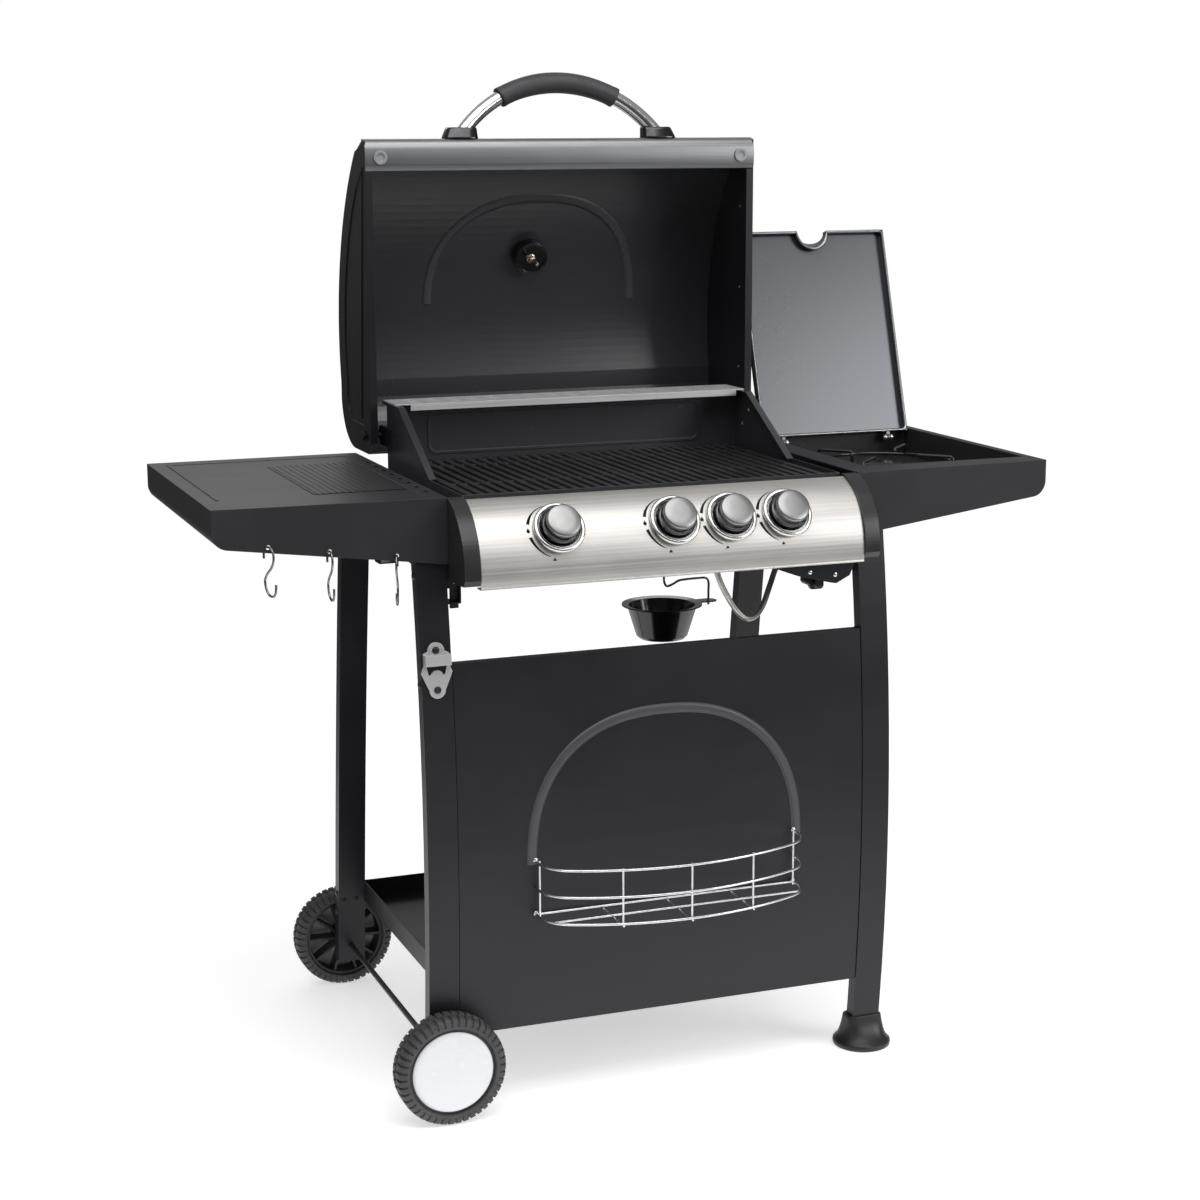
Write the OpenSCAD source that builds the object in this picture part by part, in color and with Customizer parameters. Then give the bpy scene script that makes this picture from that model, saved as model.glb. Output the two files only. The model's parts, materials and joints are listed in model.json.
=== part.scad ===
// Gas barbecue grill on a two-wheeled cart: three main burners, a side burner under its own
// lid, a hinged main lid shown open, a bottom shelf, a bowed front panel with a wire basket.
// Millimetres, +Z up. Front is -Y. The origin is on the floor, under the middle of the grill.

/* [Cart] */
// Overall width over both side shelves
overall_w = 1196; // [1180:2:1210]
// Clear width between the left and right legs
leg_gap = 592; // [590:1:594]
// Width of a leg, seen from the front
leg_w = 41; // [38:1:44]
// Depth of a leg, seen from the side
leg_d = 20; // [18:1:22]
// Wall of the leg tube
leg_wall = 1.5; // [1.2:0.1:2]
// Height at which the front legs stand furthest forward
bow_z = 335; // [325:5:345]
// Radius of the front legs' bow
bow_r = 2500; // [2400:50:2700]

/* [Shelves] */
// Height of the side shelves' tops
shelf_z = 832; // [830:1:834]
// Depth of a side shelf at its outer end
shelf_d = 442; // [438:1:446]
// Drop of a shelf's apron at the inner end
apron_drop = 87; // [80:1:92]
// Thickness of all pressed sheet
sheet = 1.5; // [1.2:0.1:1.6]

/* [Firebox] */
// Half the firebox width
box_hw = 271; // [270:0.5:271]
// Height of the firebox's side walls at the back
wing_z = 913; // [910:1:914]
// Distance between cooking grate bars
bar_pitch = 16.4; // [15.5:0.1:17]

/* [Lid] */
// Half the lid width
lid_hw = 296; // [295.5:0.5:297]
// Height of the open lid's front edge
lid_top_z = 1281; // [1279:1:1283]
// Radius of the lid's curved back
lid_r = 367; // [365:1:369]

/* [Controls] */
// Angle of the control knobs above level
knob_tilt = 34; // [32:1:36]
// Diameter of a knob's cap
knob_d = 46; // [44:1:48]
// Outer diameter of the dished ring round a knob
bezel_d = 70; // [68:1:72]

/* [Wheels] */
// Wheel diameter
wheel_d = 150; // [148:1:152]
// Wheel width
wheel_w = 40; // [38:1:42]
// Axle rod diameter
axle_d = 8; // [8:1:8]

/* [Hidden] */
$fn = 64;

// The cart is drawn about the middle of its shelves, then moved so that the origin is under
// the middle of the whole grill, which reaches further back than it does forward.
origin_shift_y = 18.5;
eps = 0.2;                // gap between parts that only rest against each other
cut = 1;                  // how far a cutting tool runs past a face

// Legs
leg_in = leg_gap / 2;                  // inner face of a leg
leg_out = leg_in + leg_w;              // outer face of a leg
leg_top = 822;                         // top of the front legs
rear_leg_top = 785;                    // the rear legs end under the side burner's well
leg_bottom_left = 50;                  // the left legs end beside the wheels
leg_bottom_right = 8;                  // the right legs end inside the feet
front_apex_y = -261;                   // furthest forward face of the front legs
axle_z = wheel_d / 2;
rear_foot_y = 248;                     // rear face of the rear legs at axle height
rear_lean = 0.085;                     // forward lean of the rear legs per millimetre
rear_bow_r = 8000;
leg_steps = 14;
function front_leg_y(z) = front_apex_y + pow(z - bow_z, 2) / (2 * bow_r);
function rear_leg_y(z) = rear_foot_y - rear_lean * (z - axle_z) - pow(z - axle_z, 2) / (2 * rear_bow_r);

// Panels and trays
panel_z0 = 107;
panel_z1 = 616;
tray_z0 = 145;
tray_z1 = 176;
tray_front_y = -238;
tray_rear_y = 231;

// Shelves
shelf_in = 294;                        // inner edge of a shelf
shelf_out = overall_w / 2;
shelf_front_in = -233;                 // front edge at the inner end
shelf_front_out = -shelf_d / 2;        // front edge at the outer end
shelf_rear = shelf_d / 2;
apron_outer_z = 780;                   // underside of the apron near the outer end
apron_corner_r = 22;
hook_x = [-527, -449, -362];
hook_z = [781, 771, 760];
hook_turn = [25, 5, -20];              // how far each hook is turned about the vertical
hook_names = ["hook_outer", "hook_middle", "hook_inner"];

// Side burner well in the right shelf
well = [331, 585, -180, 177];          // x from, x to, y from, y to
well_floor_z = 788;
burner_x = 457;
burner_y = 0;
side_axis_y = 163;
side_axis_z = 820;
side_open = 107.6;                     // the side lid leans back this far from closed
side_hinge_x = [368, 548];
side_pin_r = 3;

// Firebox
box_front_y = -222;
back_y = 128;                          // inner face of the back wall
box_floor_z = 700;
grease_hole = [97, -20];
wing_slope = [[-75, shelf_z], [70, wing_z]];
back_panel_z = 868;                    // middle of the pressed frame on the back wall
grate_z = 829;                         // top of the cooking grates

// Lid, drawn open. The outline is in (y, z).
hinge_y = 155;
hinge_z = 865;
hinge_pin_r = 4;
rim_y = 127;
lid_arc_c = [-75, 1000];
lid_low_c = [211, 915];
lid_low_r = 75;
lid_bottom_z = lid_low_c[1] - lid_low_r;
lid_mouth_y = 139;

// Handle
handle_r = 188;                        // radius of the bent tube
handle_c_z = 1173;
handle_y = 145;
handle_lean = 12;
tube_r = 10;
grip_angle = 28;
tube_end_angle = 48;

// The lid's front corner, and the ends of its curved back in degrees
lid_corner = [143, lid_top_z];
lid_arc_from = 46;
lid_arc_to = -11;

// Thermometer in the lid's back
thermo_angle = 17.4;
thermo_x = -7;

// Controls
fascia_c = [-203, 737];                // axis of the fascia's curve, in (y, z)
fascia_r = 96;
fascia_hw = 271.5;
knob_x = [-161, 0, 81, 162];
burner_row = [-161, 0, 162];
manifold_in = 40;                      // the manifold's axis, out from the fascia's own axis
manifold_r = 9;
inlet_x = 236;
inlet_r = 6.5;
inlet_z = 680;                         // the inlet turns to the rear below the firebox's floor
inlet_len = 48;
inlet_pipe_r = 5.5;
inlet_thread = 18;
stem_r = 4;
bezel_seat = fascia_r + 0.6;

// Basket: its rails are three arcs in plan
basket_r = 400;
basket_corner_r = 45;
basket_hw = 189;
basket_front = -352;
basket_turn = asin((basket_hw - basket_corner_r) / (basket_r - basket_corner_r));
basket_corner_y = basket_front + basket_r - (basket_r - basket_corner_r) * cos(basket_turn);
basket_z = [268, 305, 342];
basket_back = -260.4;
rail_r = 1.8;
cross_r = 1.5;

// Bottle opener's outline, right and left of its middle
opener_right = concat(arc([0, 25], 11.5, 90, 0, 6), [[17.5, 22], [17.5, 7], [21, -3], [16, -15]], arc([0,
    -26], 11, 0, -90, 6));
opener_left = [for (i = [len(opener_right) - 2:-1:1]) [-opener_right[i][0], opener_right[i][1]]];

// An S-hook of wire, drawn about its hole in the left apron
hook_route = [[0, 9, -15], [0, 9, -6], [0, 5, -0.8], [0, 0, 0.4], [0, -5, -0.8], [0, -10, -7], [0, -10,
    -17], [0, -5, -26],
  [0, 3, -34], [0, 8, -43], [0, 6, -54], [0, 0, -61], [0, -8, -62], [0, -13, -56], [0, -14, -46]];

// Wheels
wheel_x = -317;
front_wheel_y = -275;
rear_wheel_y = 283;
axle_r = axle_d / 2;

// Bottle opener on the front left leg
opener_x = -317;
opener_z = 610;

// Cup under the firebox
cup_x = 91;
cup_rim_r = 58;
cup_rim_z = 624;
cup_base_r = 37;
cup_h = 50;

module place() translate([0, origin_shift_y, 0]) children();

// A (y, z) outline drawn out along x
module along_x(x0, x1) translate([x0, 0, 0]) rotate([90, 0, 90]) linear_extrude(x1 - x0) children();

// An (x, z) outline drawn out along y
module along_y(y0, y1) translate([0, y1, 0]) rotate([90, 0, 0]) linear_extrude(y1 - y0) children();

module box(from, to) translate(from) cube(to - from);

module round_rect(w, h, r) {
  square([w - 2 * r, h], center = true);
  square([w, h - 2 * r], center = true);
  for (x = [-1, 1], y = [-1, 1]) translate([x * (w / 2 - r), y * (h / 2 - r)]) circle(r);
}

module mirrored() {
  children();
  mirror([1, 0, 0]) children();
}

// Points of an arc about centre c
function arc(c, r, a0, a1, n) = [for (i = [0:n]) let (a = a0 + (a1 - a0) * i / n) [c[0] + r * cos(a),
    c[1] + r * sin(a)]];

// A wire of radius r swept along a curve through points p, with n steps between two points
function blend_point(a, b, c, d, t) =
  0.5 * ((2 * b) + (c - a) * t + (2 * a - 5 * b + 4 * c - d) * t * t + (3 * b - a - 3 * c + d) * t * t * t);
function curve(p, n) = concat([for (i = [0:len(p) - 2], k = [0:n - 1])
  blend_point(p[max(i - 1, 0)], p[i], p[i + 1], p[min(i + 2, len(p) - 1)], k / n)], [p[len(p) - 1]]);
function unit(v) = v / norm(v);
function heading(c, i) = unit(c[min(i + 1, len(c) - 1)] - c[max(i - 1, 0)]);
function carried(c, i, prev) = let (t = heading(c, i)) unit(prev - t * (prev * t));
function frames(c, i, prev) = i == len(c) ? [] :
  let (s = carried(c, i, prev)) concat([s], frames(c, i + 1, s));

module wire(p, r, start_side, sides = 8, n = 4) {
  c = curve(p, n);
  side = frames(c, 0, start_side);
  rings = [for (i = [0:len(c) - 1], k = [0:sides - 1])
    let (t = heading(c, i), s = side[i], u = cross(t, s), a = 360 * k / sides) c[i] + r * (cos(a) * s +
        sin(a) * u)];
  last = (len(c) - 1) * sides;
  walls = [for (i = [0:len(c) - 2], k = [0:sides - 1])
    let (a = i * sides + k, b = i * sides + (k + 1) % sides) [a, a + sides, b + sides, b]];
  polyhedron(rings, concat(walls, [[for (k = [0:sides - 1]) k]], [[for (k = [sides - 1:-1:0]) last + k]]));
}

// ---- Cart ----

// Outline of a bowed leg in (y, z); in_by shrinks it all round
module front_leg_outline(z0, z1, in_by = 0) {
  face = [for (i = [0:leg_steps]) let (z = z0 + (z1 - z0) * i / leg_steps) [front_leg_y(z) + in_by, z]];
  back = [for (i = [leg_steps:-1:0]) let (z = z0 + (z1 - z0) * i / leg_steps) [front_leg_y(z) +
      leg_d - in_by, z]];
  polygon(concat(face, back));
}

module rear_leg_outline(z0, z1, in_by = 0) {
  face = [for (i = [0:leg_steps]) let (z = z0 + (z1 - z0) * i / leg_steps) [rear_leg_y(z) - in_by, z]];
  back = [for (i = [leg_steps:-1:0]) let (z = z0 + (z1 - z0) * i / leg_steps) [rear_leg_y(z) - leg_d +
      in_by, z]];
  polygon(concat(face, back));
}

module axle_hole() translate([wheel_x, -leg_out, axle_z]) rotate([-90, 0, 0]) cylinder(r = axle_r + 0.1,
    h = 2 * leg_out);

module front_leg(bottom) color("#202225") difference() {
  along_x(leg_in, leg_out) front_leg_outline(bottom, leg_top);
  along_x(leg_in + leg_wall, leg_out - leg_wall) front_leg_outline(bottom - cut, leg_top + cut, leg_wall);
}

module rear_leg(bottom) color("#202225") difference() {
  along_x(leg_in, leg_out) rear_leg_outline(bottom, rear_leg_top);
  along_x(leg_in + leg_wall, leg_out - leg_wall) rear_leg_outline(bottom - cut, rear_leg_top + cut,
      leg_wall);
}

module leg_front_left() difference() {
  mirror([1, 0, 0]) front_leg(leg_bottom_left);
  axle_hole();
}

module leg_rear_left() difference() {
  mirror([1, 0, 0]) rear_leg(leg_bottom_left);
  axle_hole();
}

module leg_front_right() front_leg(leg_bottom_right);
module leg_rear_right() rear_leg(leg_bottom_right);

// Rails that join the front and rear legs under the shelves, with brackets for the firebox
module upper_frame() color("#1b1c1e") mirrored() {
  rail_z = [752, 780];
  rail_y = [front_leg_y(rail_z[1]) + leg_d + 0.5, rear_leg_y(rail_z[1]) - leg_d - 0.5];
  difference() {
    box([leg_in + 6, rail_y[0], rail_z[0]], [leg_out - 6, rail_y[1], rail_z[1]]);
    box([leg_in + 8, rail_y[0] - cut, rail_z[0] - cut], [leg_out - 8, rail_y[1] + cut, rail_z[1] - 2]);
  }
  for (y = [-212, 96]) {
    box([box_hw + eps, y, 688], [leg_in - eps, y + 26, 690]);
    box([box_hw + eps, y, 690], [box_hw + eps + 2, y + 26, 778]);
    box([leg_in - eps - 2, y, 690], [leg_in - eps, y + 26, 778]);
  }
}

module bottom_shelf() color("#1d1e20") difference() {
  box([-leg_in + eps, tray_front_y, tray_z0], [leg_in - eps, tray_rear_y, tray_z1]);
  box([-leg_in + eps + sheet, tray_front_y + sheet, tray_z0 + sheet], [leg_in - eps - sheet,
      tray_rear_y - sheet, tray_z1 + cut]);
}

// Outline of the pressed arch: a flat-topped bell with soft shoulders
function bell(half_w, foot_z, top_z, n, p = 2.35) = [for (i = [0:n]) let (a = 180 * i / n, s = sign(cos(a)))
  [s * half_w * pow(abs(cos(a)), 2 / p), foot_z + (top_z - foot_z) * pow(sin(a), 2 / p)]];

module arch_ridge(half_w, foot_z, top_z, ridge) difference() {
  polygon(bell(half_w, foot_z, top_z, 36));
  polygon(bell(half_w - ridge, foot_z - cut, top_z - ridge, 36));
}

module panel_strip(front, back) {
  n = leg_steps;
  outer = [for (i = [0:n]) let (z = panel_z0 + (panel_z1 - panel_z0) * i / n) [front_leg_y(z) + front, z]];
  inner = [for (i = [n:-1:0]) let (z = panel_z0 + (panel_z1 - panel_z0) * i / n) [front_leg_y(z) + back,
      z]];
  polygon(concat(outer, inner));
}

module front_panel() color("#232528") {
  hw = leg_in - 1;
  along_x(-hw, hw) panel_strip(1, 1 + sheet);
  mirrored() along_x(hw - sheet, hw) panel_strip(1.6, 16);
  box([-hw + sheet / 2, front_leg_y(panel_z1) + 1.6, panel_z1 - sheet], [hw - sheet / 2,
      front_leg_y(panel_z1) + 14, panel_z1 - 0.2]);
  intersection() {
    along_y(-270, -240) arch_ridge(198, 336, 535.5, 9);
    along_x(-hw, hw) panel_strip(-1.2, 1.6);
  }
}

module foot() difference() {
  hull() {
    translate([0, 0, 0]) cylinder(r = 38, h = 2, $fn = 32);
    translate([0, 0, 2]) cylinder(r = 41.5, h = 6, $fn = 32);
    translate([-24, -14, 43]) cube([48, 28, 3]);
  }
  translate([-leg_w / 2 - eps, -leg_d / 2 - 2.2, leg_bottom_right - eps]) cube([leg_w + 2 * eps, leg_d +
      4.4, 60]);
}

module feet() color("#17181a") {
  translate([leg_in + leg_w / 2, front_leg_y(25) + leg_d / 2, 0]) foot();
  translate([leg_in + leg_w / 2, rear_leg_y(25) - leg_d / 2, 0]) foot();
}

// ---- Wheels: drawn with the outer face towards +Z and the axle through the origin ----

module axle() color("#2a2b2d") {
  translate([wheel_x, front_wheel_y - wheel_w / 2 + 4, axle_z]) rotate([-90, 0, 0])
    cylinder(r = axle_r, h = rear_wheel_y - front_wheel_y + wheel_w - 8);
  collar(front_wheel_y + wheel_w / 2 + 0.4, front_leg_y(axle_z) - 0.4);
  collar(rear_leg_y(axle_z) + 0.4, rear_wheel_y - wheel_w / 2 - 0.4);
}

module collar(y0, y1) translate([wheel_x, y0, axle_z]) rotate([-90, 0, 0]) cylinder(r = 9, h = y1 - y0);

module front_wheel_place() translate([wheel_x, front_wheel_y, axle_z]) rotate([90, 0, 0]) children();
module rear_wheel_place() translate([wheel_x, rear_wheel_y, axle_z]) rotate([-90, 0, 0]) children();

module tyre() color("#18191a") rotate_extrude() {
  r = wheel_d / 2;
  h = wheel_w / 2;
  polygon([[59, -h + 3], [r - 8, -h], [r - 2, -h + 5], [r, -h + 12], [r, h - 12], [r - 2, h - 5], [r - 8,
      h], [59, h - 3]]);
}

module rim() color("#1c1d1e") {
  difference() {
    union() {
      rotate_extrude() polygon([[55, -15], [58.8, -15], [58.8, 15], [55, 15]]);
      cylinder(r = 15, h = 35, center = true);
      for (i = [0:9]) rotate([0, 0, 36 * i]) translate([13, -2, -13]) cube([43, 4, 24]);
    }
    cylinder(r = axle_r + 0.06, h = 60, center = true);
  }
}

module hub_cap() color("#e8e9ea") rotate_extrude()
  polygon([[0, 18.6], [48, 18.6], [54, 15.6], [55.6, 15.6], [55.6, 17.4], [50, 20], [0, 20]]);

module tyre_front() front_wheel_place() tyre();
module tyre_rear() rear_wheel_place() tyre();
module rim_front() front_wheel_place() rim();
module rim_rear() rear_wheel_place() rim();
module hub_cap_front() front_wheel_place() hub_cap();
module hub_cap_rear() rear_wheel_place() hub_cap();

// ---- Firebox ----

// Side of the firebox in (y, z): a tub with a funnel floor, and side walls that rise to the back
module firebox_outline() polygon([[box_front_y, shelf_z], [box_front_y, 742], [-70, box_floor_z], [30,
    box_floor_z],
  [back_y + sheet, 742], [back_y + sheet, wing_z], wing_slope[1], wing_slope[0]]);

module firebox_inside() polygon([[box_front_y + sheet, 1000], [box_front_y + sheet, 742 + sheet], [-70,
    box_floor_z + sheet],
  [30, box_floor_z + sheet], [back_y, 742 + sheet], [back_y, 1000]]);

module wing_flange() {
  dy = 2;
  polygon([wing_slope[0], wing_slope[1], [back_y + 0.5, wing_z], [back_y + 0.5, wing_z - sheet],
    [wing_slope[1][0] + dy / 3, wing_z - sheet], [wing_slope[0][0] + dy, shelf_z]]);
}

module firebox() color("#26282b") difference() {
  union() {
    difference() {
      along_x(-box_hw, box_hw) firebox_outline();
      along_x(-box_hw + sheet, box_hw - sheet) firebox_inside();
    }
    mirrored() {
      along_x(box_hw - 10, box_hw - sheet / 2) wing_flange();
      box([box_hw - 10, box_front_y + sheet / 2, 818], [box_hw - sheet / 2, back_y + sheet / 2, 819.5]);
    }
    translate([0, 0, back_panel_z]) along_y(back_y - 1.2, back_y + 0.2) difference() {
      round_rect(424, 62, 14);
      round_rect(416, 54, 10);
    }
  }
  translate([grease_hole[0], grease_hole[1], box_floor_z - cut]) cylinder(r = 6, h = 4);
  for (x = burner_row) translate([x, box_front_y - cut, 768]) rotate([-90, 0, 0]) cylinder(r = 13, h = 6);
}

module hinge_pin(x0, x1, r) translate([x0, hinge_y, hinge_z]) rotate([0, 90, 0]) cylinder(r = r, h =
    x1 - x0);

module lid_hinges() color("#2b2d30") mirrored() {
  arm = [box_hw + eps, box_hw + 2.2];
  box([arm[0], 106, 851], [arm[1], hinge_y - 2, 879]);
  hinge_pin(arm[0], arm[1], 14);
  hinge_pin(arm[1], lid_hw + 3, hinge_pin_r);
  hinge_pin(lid_hw + 2.2, lid_hw + 5, 7);
}

module bar(x, y0, y1) box([x - 4.4, y0, grate_z - 7], [x + 4.4, y1, grate_z]);

module cooking_grates() color("#141516") mirrored() {
  y0 = box_front_y + sheet + 1;
  y1 = back_y - 2;
  first = 2 + 4.4;
  bars = floor((box_hw - sheet - 4 - first) / bar_pitch);
  for (i = [0:bars]) bar(first + i * bar_pitch, y0, y1);
  for (y = [y0, -99, 70, y1 - 7]) box([2, y, grate_z - 9], [first + bars * bar_pitch + 4, y + 7,
      grate_z - 1.5]);
}

module tamer_outline() polygon([[-52, 786], [0, 806], [52, 786], [52, 784.4], [0, 804.4], [-52, 784.4]]);

module flame_tamers() color("#3a3c3f") for (x = burner_row) translate([x, 0, 0]) along_y(-205, 118)
    tamer_outline();

module main_burners() color("#8d9094") for (x = burner_row) {
  difference() {
    translate([x, -208, 768]) rotate([-90, 0, 0]) cylinder(r = 12, h = 318);
    translate([x, -210, 768]) rotate([-90, 0, 0]) cylinder(r = 10.5, h = 318);
    for (y = [-150:20:90], s = [-1, 1]) translate([x, y, 768]) rotate([0, s * 60, 0]) cylinder(r = 1.4,
        h = 14);
  }
  box([x - 9, 110.2, 759], [x + 9, back_y - 0.4, 761]);
  box([x - 9, 110.2, 759], [x + 9, 112.2, 777]);
}

module igniter_electrodes() color("#e6e2d6") for (x = burner_row) translate([x + 16, -120, 764]) {
  cylinder(r = 3.5, h = 14);
  translate([0, 0, 14]) cylinder(r = 1, h = 6);
}

module warming_rack() color("#b9bbbd") {
  z = wing_z + eps;
  slot = [26, 5];
  difference() {
    union() {
      box([-box_hw + 2, 93, z], [box_hw - 2, 160, z + sheet]);
      box([-246, 93, z - 8], [256, 93 + sheet, z]);
      box([-box_hw + 2, 160 - sheet, z - 6], [box_hw - 2, 160, z]);
    }
    for (x = [-240:30:240], y = [104, 122, 140]) translate([x, y, z - cut]) rotate([0, 0, 22])
      cube([slot[0] * 0.75, slot[1], 2 * sheet + cut]);
  }
}

// ---- Control panel ----

// A ring slice of the fascia's curve in (y, z), between two radii and two angles
module fascia_band(r0, r1, a0, a1) translate(fascia_c) polygon(concat(arc([0, 0], r1, a0, a1, 24),
    arc([0, 0], r0, a1, a0, 24)));

// Carries its children to a knob's axis, with +Z pointing out of the fascia
module at_knob(i, out = 0) translate([knob_x[i], fascia_c[0] - out * cos(knob_tilt), fascia_c[1] +
    out * sin(knob_tilt)])
  rotate([90 - knob_tilt, 0, 0]) children();

module control_fascia() color("#c9c7c2") difference() {
  union() {
    along_x(-fascia_hw, fascia_hw) fascia_band(fascia_r - sheet, fascia_r, 108, 188);
    along_x(-fascia_hw, fascia_hw) polygon([[-298.1, 723.6], [-296.6, 723.6], [-282, 722], [-282, 720.5],
        [-297, 720.5], [-298.6, 722]]);
  }
  for (i = [0:3]) at_knob(i, fascia_r - 20) cylinder(r = 9, h = 40);
}

module end_cap_outline(in_by, back) polygon(concat(arc(fascia_c, fascia_r + 3 - in_by, 109 + in_by, 182,
    24),
  [[in_by - 296, 726 + in_by], [back, 722 + in_by], [back, shelf_z - 1 - in_by]]));

module fascia_end_caps() color("#1b1c1e") mirrored() difference() {
  along_x(fascia_hw + eps, shelf_in - eps) end_cap_outline(0, -225);
  along_x(fascia_hw, leg_in - 4) end_cap_outline(3, -215);
}

module knob_bezels() color("#d7d7d5") for (i = [0:3]) at_knob(i) rotate_extrude()
  polygon([[10, bezel_seat], [bezel_d / 2 - 3, bezel_seat], [bezel_d / 2, bezel_seat + 3], [bezel_d / 2,
      bezel_seat + 5],
    [bezel_d / 2 - 2, bezel_seat + 7], [bezel_d / 2 - 5, bezel_seat + 6.4], [26.5, bezel_seat + 2.4],
        [10, bezel_seat + 1.6]]);

// The knob: a dark skirt under a satin cap, on the valve stem
module knob(i) color("#c4c4c2") at_knob(i) difference() {
  base = bezel_seat + 7.2;
  rotate_extrude() polygon([[0, base], [24.2, base], [24.8, base + 2.5], [22.6, base + 4], [22.2, base +
      13],
    [knob_d / 2, base + 14], [knob_d / 2, base + 18.4], [knob_d / 2 - 1.6, base + 20], [0, base + 21]]);
  translate([0, 0, base - cut]) cylinder(r = stem_r + 0.05, h = 13 + cut);
}

module valve_stem(i) color("#a8a49a") at_knob(i) {
  translate([0, 0, 62]) cylinder(r = stem_r, h = bezel_seat + 7.2 + 12.6 - 62);
  translate([0, 0, 84]) cylinder(r = 7, h = 2);
}

module knob_1() knob(0);
module knob_2() knob(1);
module knob_3() knob(2);
module knob_4() knob(3);
module valve_stem_1() valve_stem(0);
module valve_stem_2() valve_stem(1);
module valve_stem_3() valve_stem(2);
module valve_stem_4() valve_stem(3);

// Brass valve bodies on the manifold; each holds the end of its stem in a bore
module gas_valves() color("#b08d4f") for (i = [0:3]) at_knob(i) difference() {
  union() {
    translate([0, 0, manifold_r + manifold_in + 0.3]) cylinder(r = 11, h = 22);
    translate([-8, -8, manifold_r + manifold_in + 0.3]) cube([16, 16, 14]);
  }
  translate([0, 0, 56]) cylinder(r = stem_r + 0.05, h = 30);
}

module gas_manifold() color("#8f9296") {
  axis = [fascia_c[0] - manifold_in * cos(knob_tilt), fascia_c[1] + manifold_in * sin(knob_tilt)];
  translate([-205, axis[0], axis[1]]) rotate([0, 90, 0]) cylinder(r = manifold_r, h = 460);
  translate([inlet_x, axis[0], inlet_z]) {
    cylinder(r = inlet_pipe_r, h = axis[1] - inlet_z);
    sphere(r = inlet_pipe_r);
    rotate([-90, 0, 0]) {
      cylinder(r = inlet_pipe_r, h = inlet_len - 1);
      translate([0, 0, 14]) cylinder(r = 10, h = 8, $fn = 6);
      translate([0, 0, inlet_len - inlet_thread]) cylinder(r = inlet_r, h = inlet_thread);
    }
  }
}

// ---- Side shelves ----

// Plan of a right-hand shelf; in_by shrinks it on its outer sides
module shelf_plan(in_by) polygon([[shelf_in, shelf_front_in + in_by], [shelf_out - in_by,
    shelf_front_out + in_by],
  [shelf_out - in_by, shelf_rear - in_by], [shelf_in, shelf_rear - in_by]]);

module shelf_side(in_by, top) {
  r = apron_corner_r - in_by;
  c = [shelf_out - apron_corner_r, apron_outer_z + apron_corner_r];
  polygon(concat([[shelf_in - (in_by > 0 ? cut : 0), top], [shelf_out - in_by, top]], arc(c, r, 0, -84, 10),
    [[shelf_in - (in_by > 0 ? cut : 0), shelf_z - apron_drop + (in_by > 0 ? -cut : 0)]]));
}

module shelf_body(in_by, top) intersection() {
  along_y(-300, 300) shelf_side(in_by, top);
  translate([0, 0, 600]) linear_extrude(300) shelf_plan(in_by);
}

// The pan is open underneath and along the firebox
module shelf_pan() difference() {
  shelf_body(0, shelf_z);
  shelf_body(sheet, shelf_z - sheet);
  intersection() {
    along_y(-300, 300) polygon([[shelf_in - cut, 700], [shelf_out - 26, 700],
      [shelf_out - 26, apron_outer_z + 3], [shelf_in - cut, shelf_z - apron_drop + 3]]);
    translate([0, 0, 600]) linear_extrude(300) shelf_plan(sheet);
  }
}

module left_shelf() color("#2a2c30") mirror([1, 0, 0]) difference() {
  union() {
    shelf_pan();
    box([572, -150, shelf_z], [576, 190, shelf_z + 1.2]);
  }
  box([shelf_in + 24, -196, shelf_z - 0.8], [shelf_out - 26, 192, shelf_z + 5]);
  for (y = [-176:40:110]) box([shelf_in + 7, y, shelf_z - 5], [shelf_in + 13, y + 16, shelf_z + 5]);
  for (i = [0:2]) translate([-hook_x[i], -250, hook_z[i]]) rotate([-90, 0, 0]) cylinder(r = 3, h = 50);
}

module right_shelf() color("#2a2c30") difference() {
  union() {
    difference() {
      shelf_pan();
      box([well[0], well[2], 700], [well[1], well[3], 900]);
    }
    difference() {
      box([well[0] - sheet, well[2] - sheet, well_floor_z - sheet], [well[1] + sheet, well[3] + sheet,
          shelf_z]);
      box([well[0], well[2], well_floor_z], [well[1], well[3], shelf_z + cut]);
    }
  }
  translate([burner_x, burner_y, 700]) cylinder(r = 17, h = 110);
}

module side_burner() color("#3c3d40") translate([burner_x, burner_y, 0]) difference() {
  union() {
    translate([0, 0, well_floor_z + eps]) cylinder(r = 34, h = 7);
    translate([0, 0, 752]) cylinder(r = 16, h = 37);
    translate([0, 0, well_floor_z + 7]) rotate_extrude() polygon([[0, 0.4], [30, 0.4], [38, 3], [38, 7],
        [34, 10], [0, 11]]);
  }
  translate([0, 0, 740]) cylinder(r = 6, h = 30);
}

module pan_support() color("#1a1b1c") translate([burner_x, burner_y, 0]) {
  difference() {
    translate([0, 0, 802]) cylinder(r = 108, h = 4);
    translate([0, 0, 801]) cylinder(r = 103, h = 6);
  }
  for (a = [45:90:315]) rotate([0, 0, a]) {
    box([50, -2, 814], [106, 2, 820]);
    box([102, -2, 806], [107, 2, 820]);
  }
  for (a = [0:90:270]) rotate([0, 0, a]) box([103, -5, well_floor_z + eps], [107, 5, 802]);
}

pipe_route = [[81, -226, 742], [83, -226, 720], [92, -228, 690], [112, -228, 656], [130, -226, 640],
    [148, -218, 640],
  [166, -204, 652], [186, -184, 676], [204, -166, 696], [232, -140, 704], [272, -110, 704], [330, -76, 704],
  [390, -40, 706], [436, -12, 716], [454, -2, 728], [457, 0, 751.6]];

module side_burner_pipe() color("#b5b1a8") wire(pipe_route, 4, [1, 0, 0], 10, 4);

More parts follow.
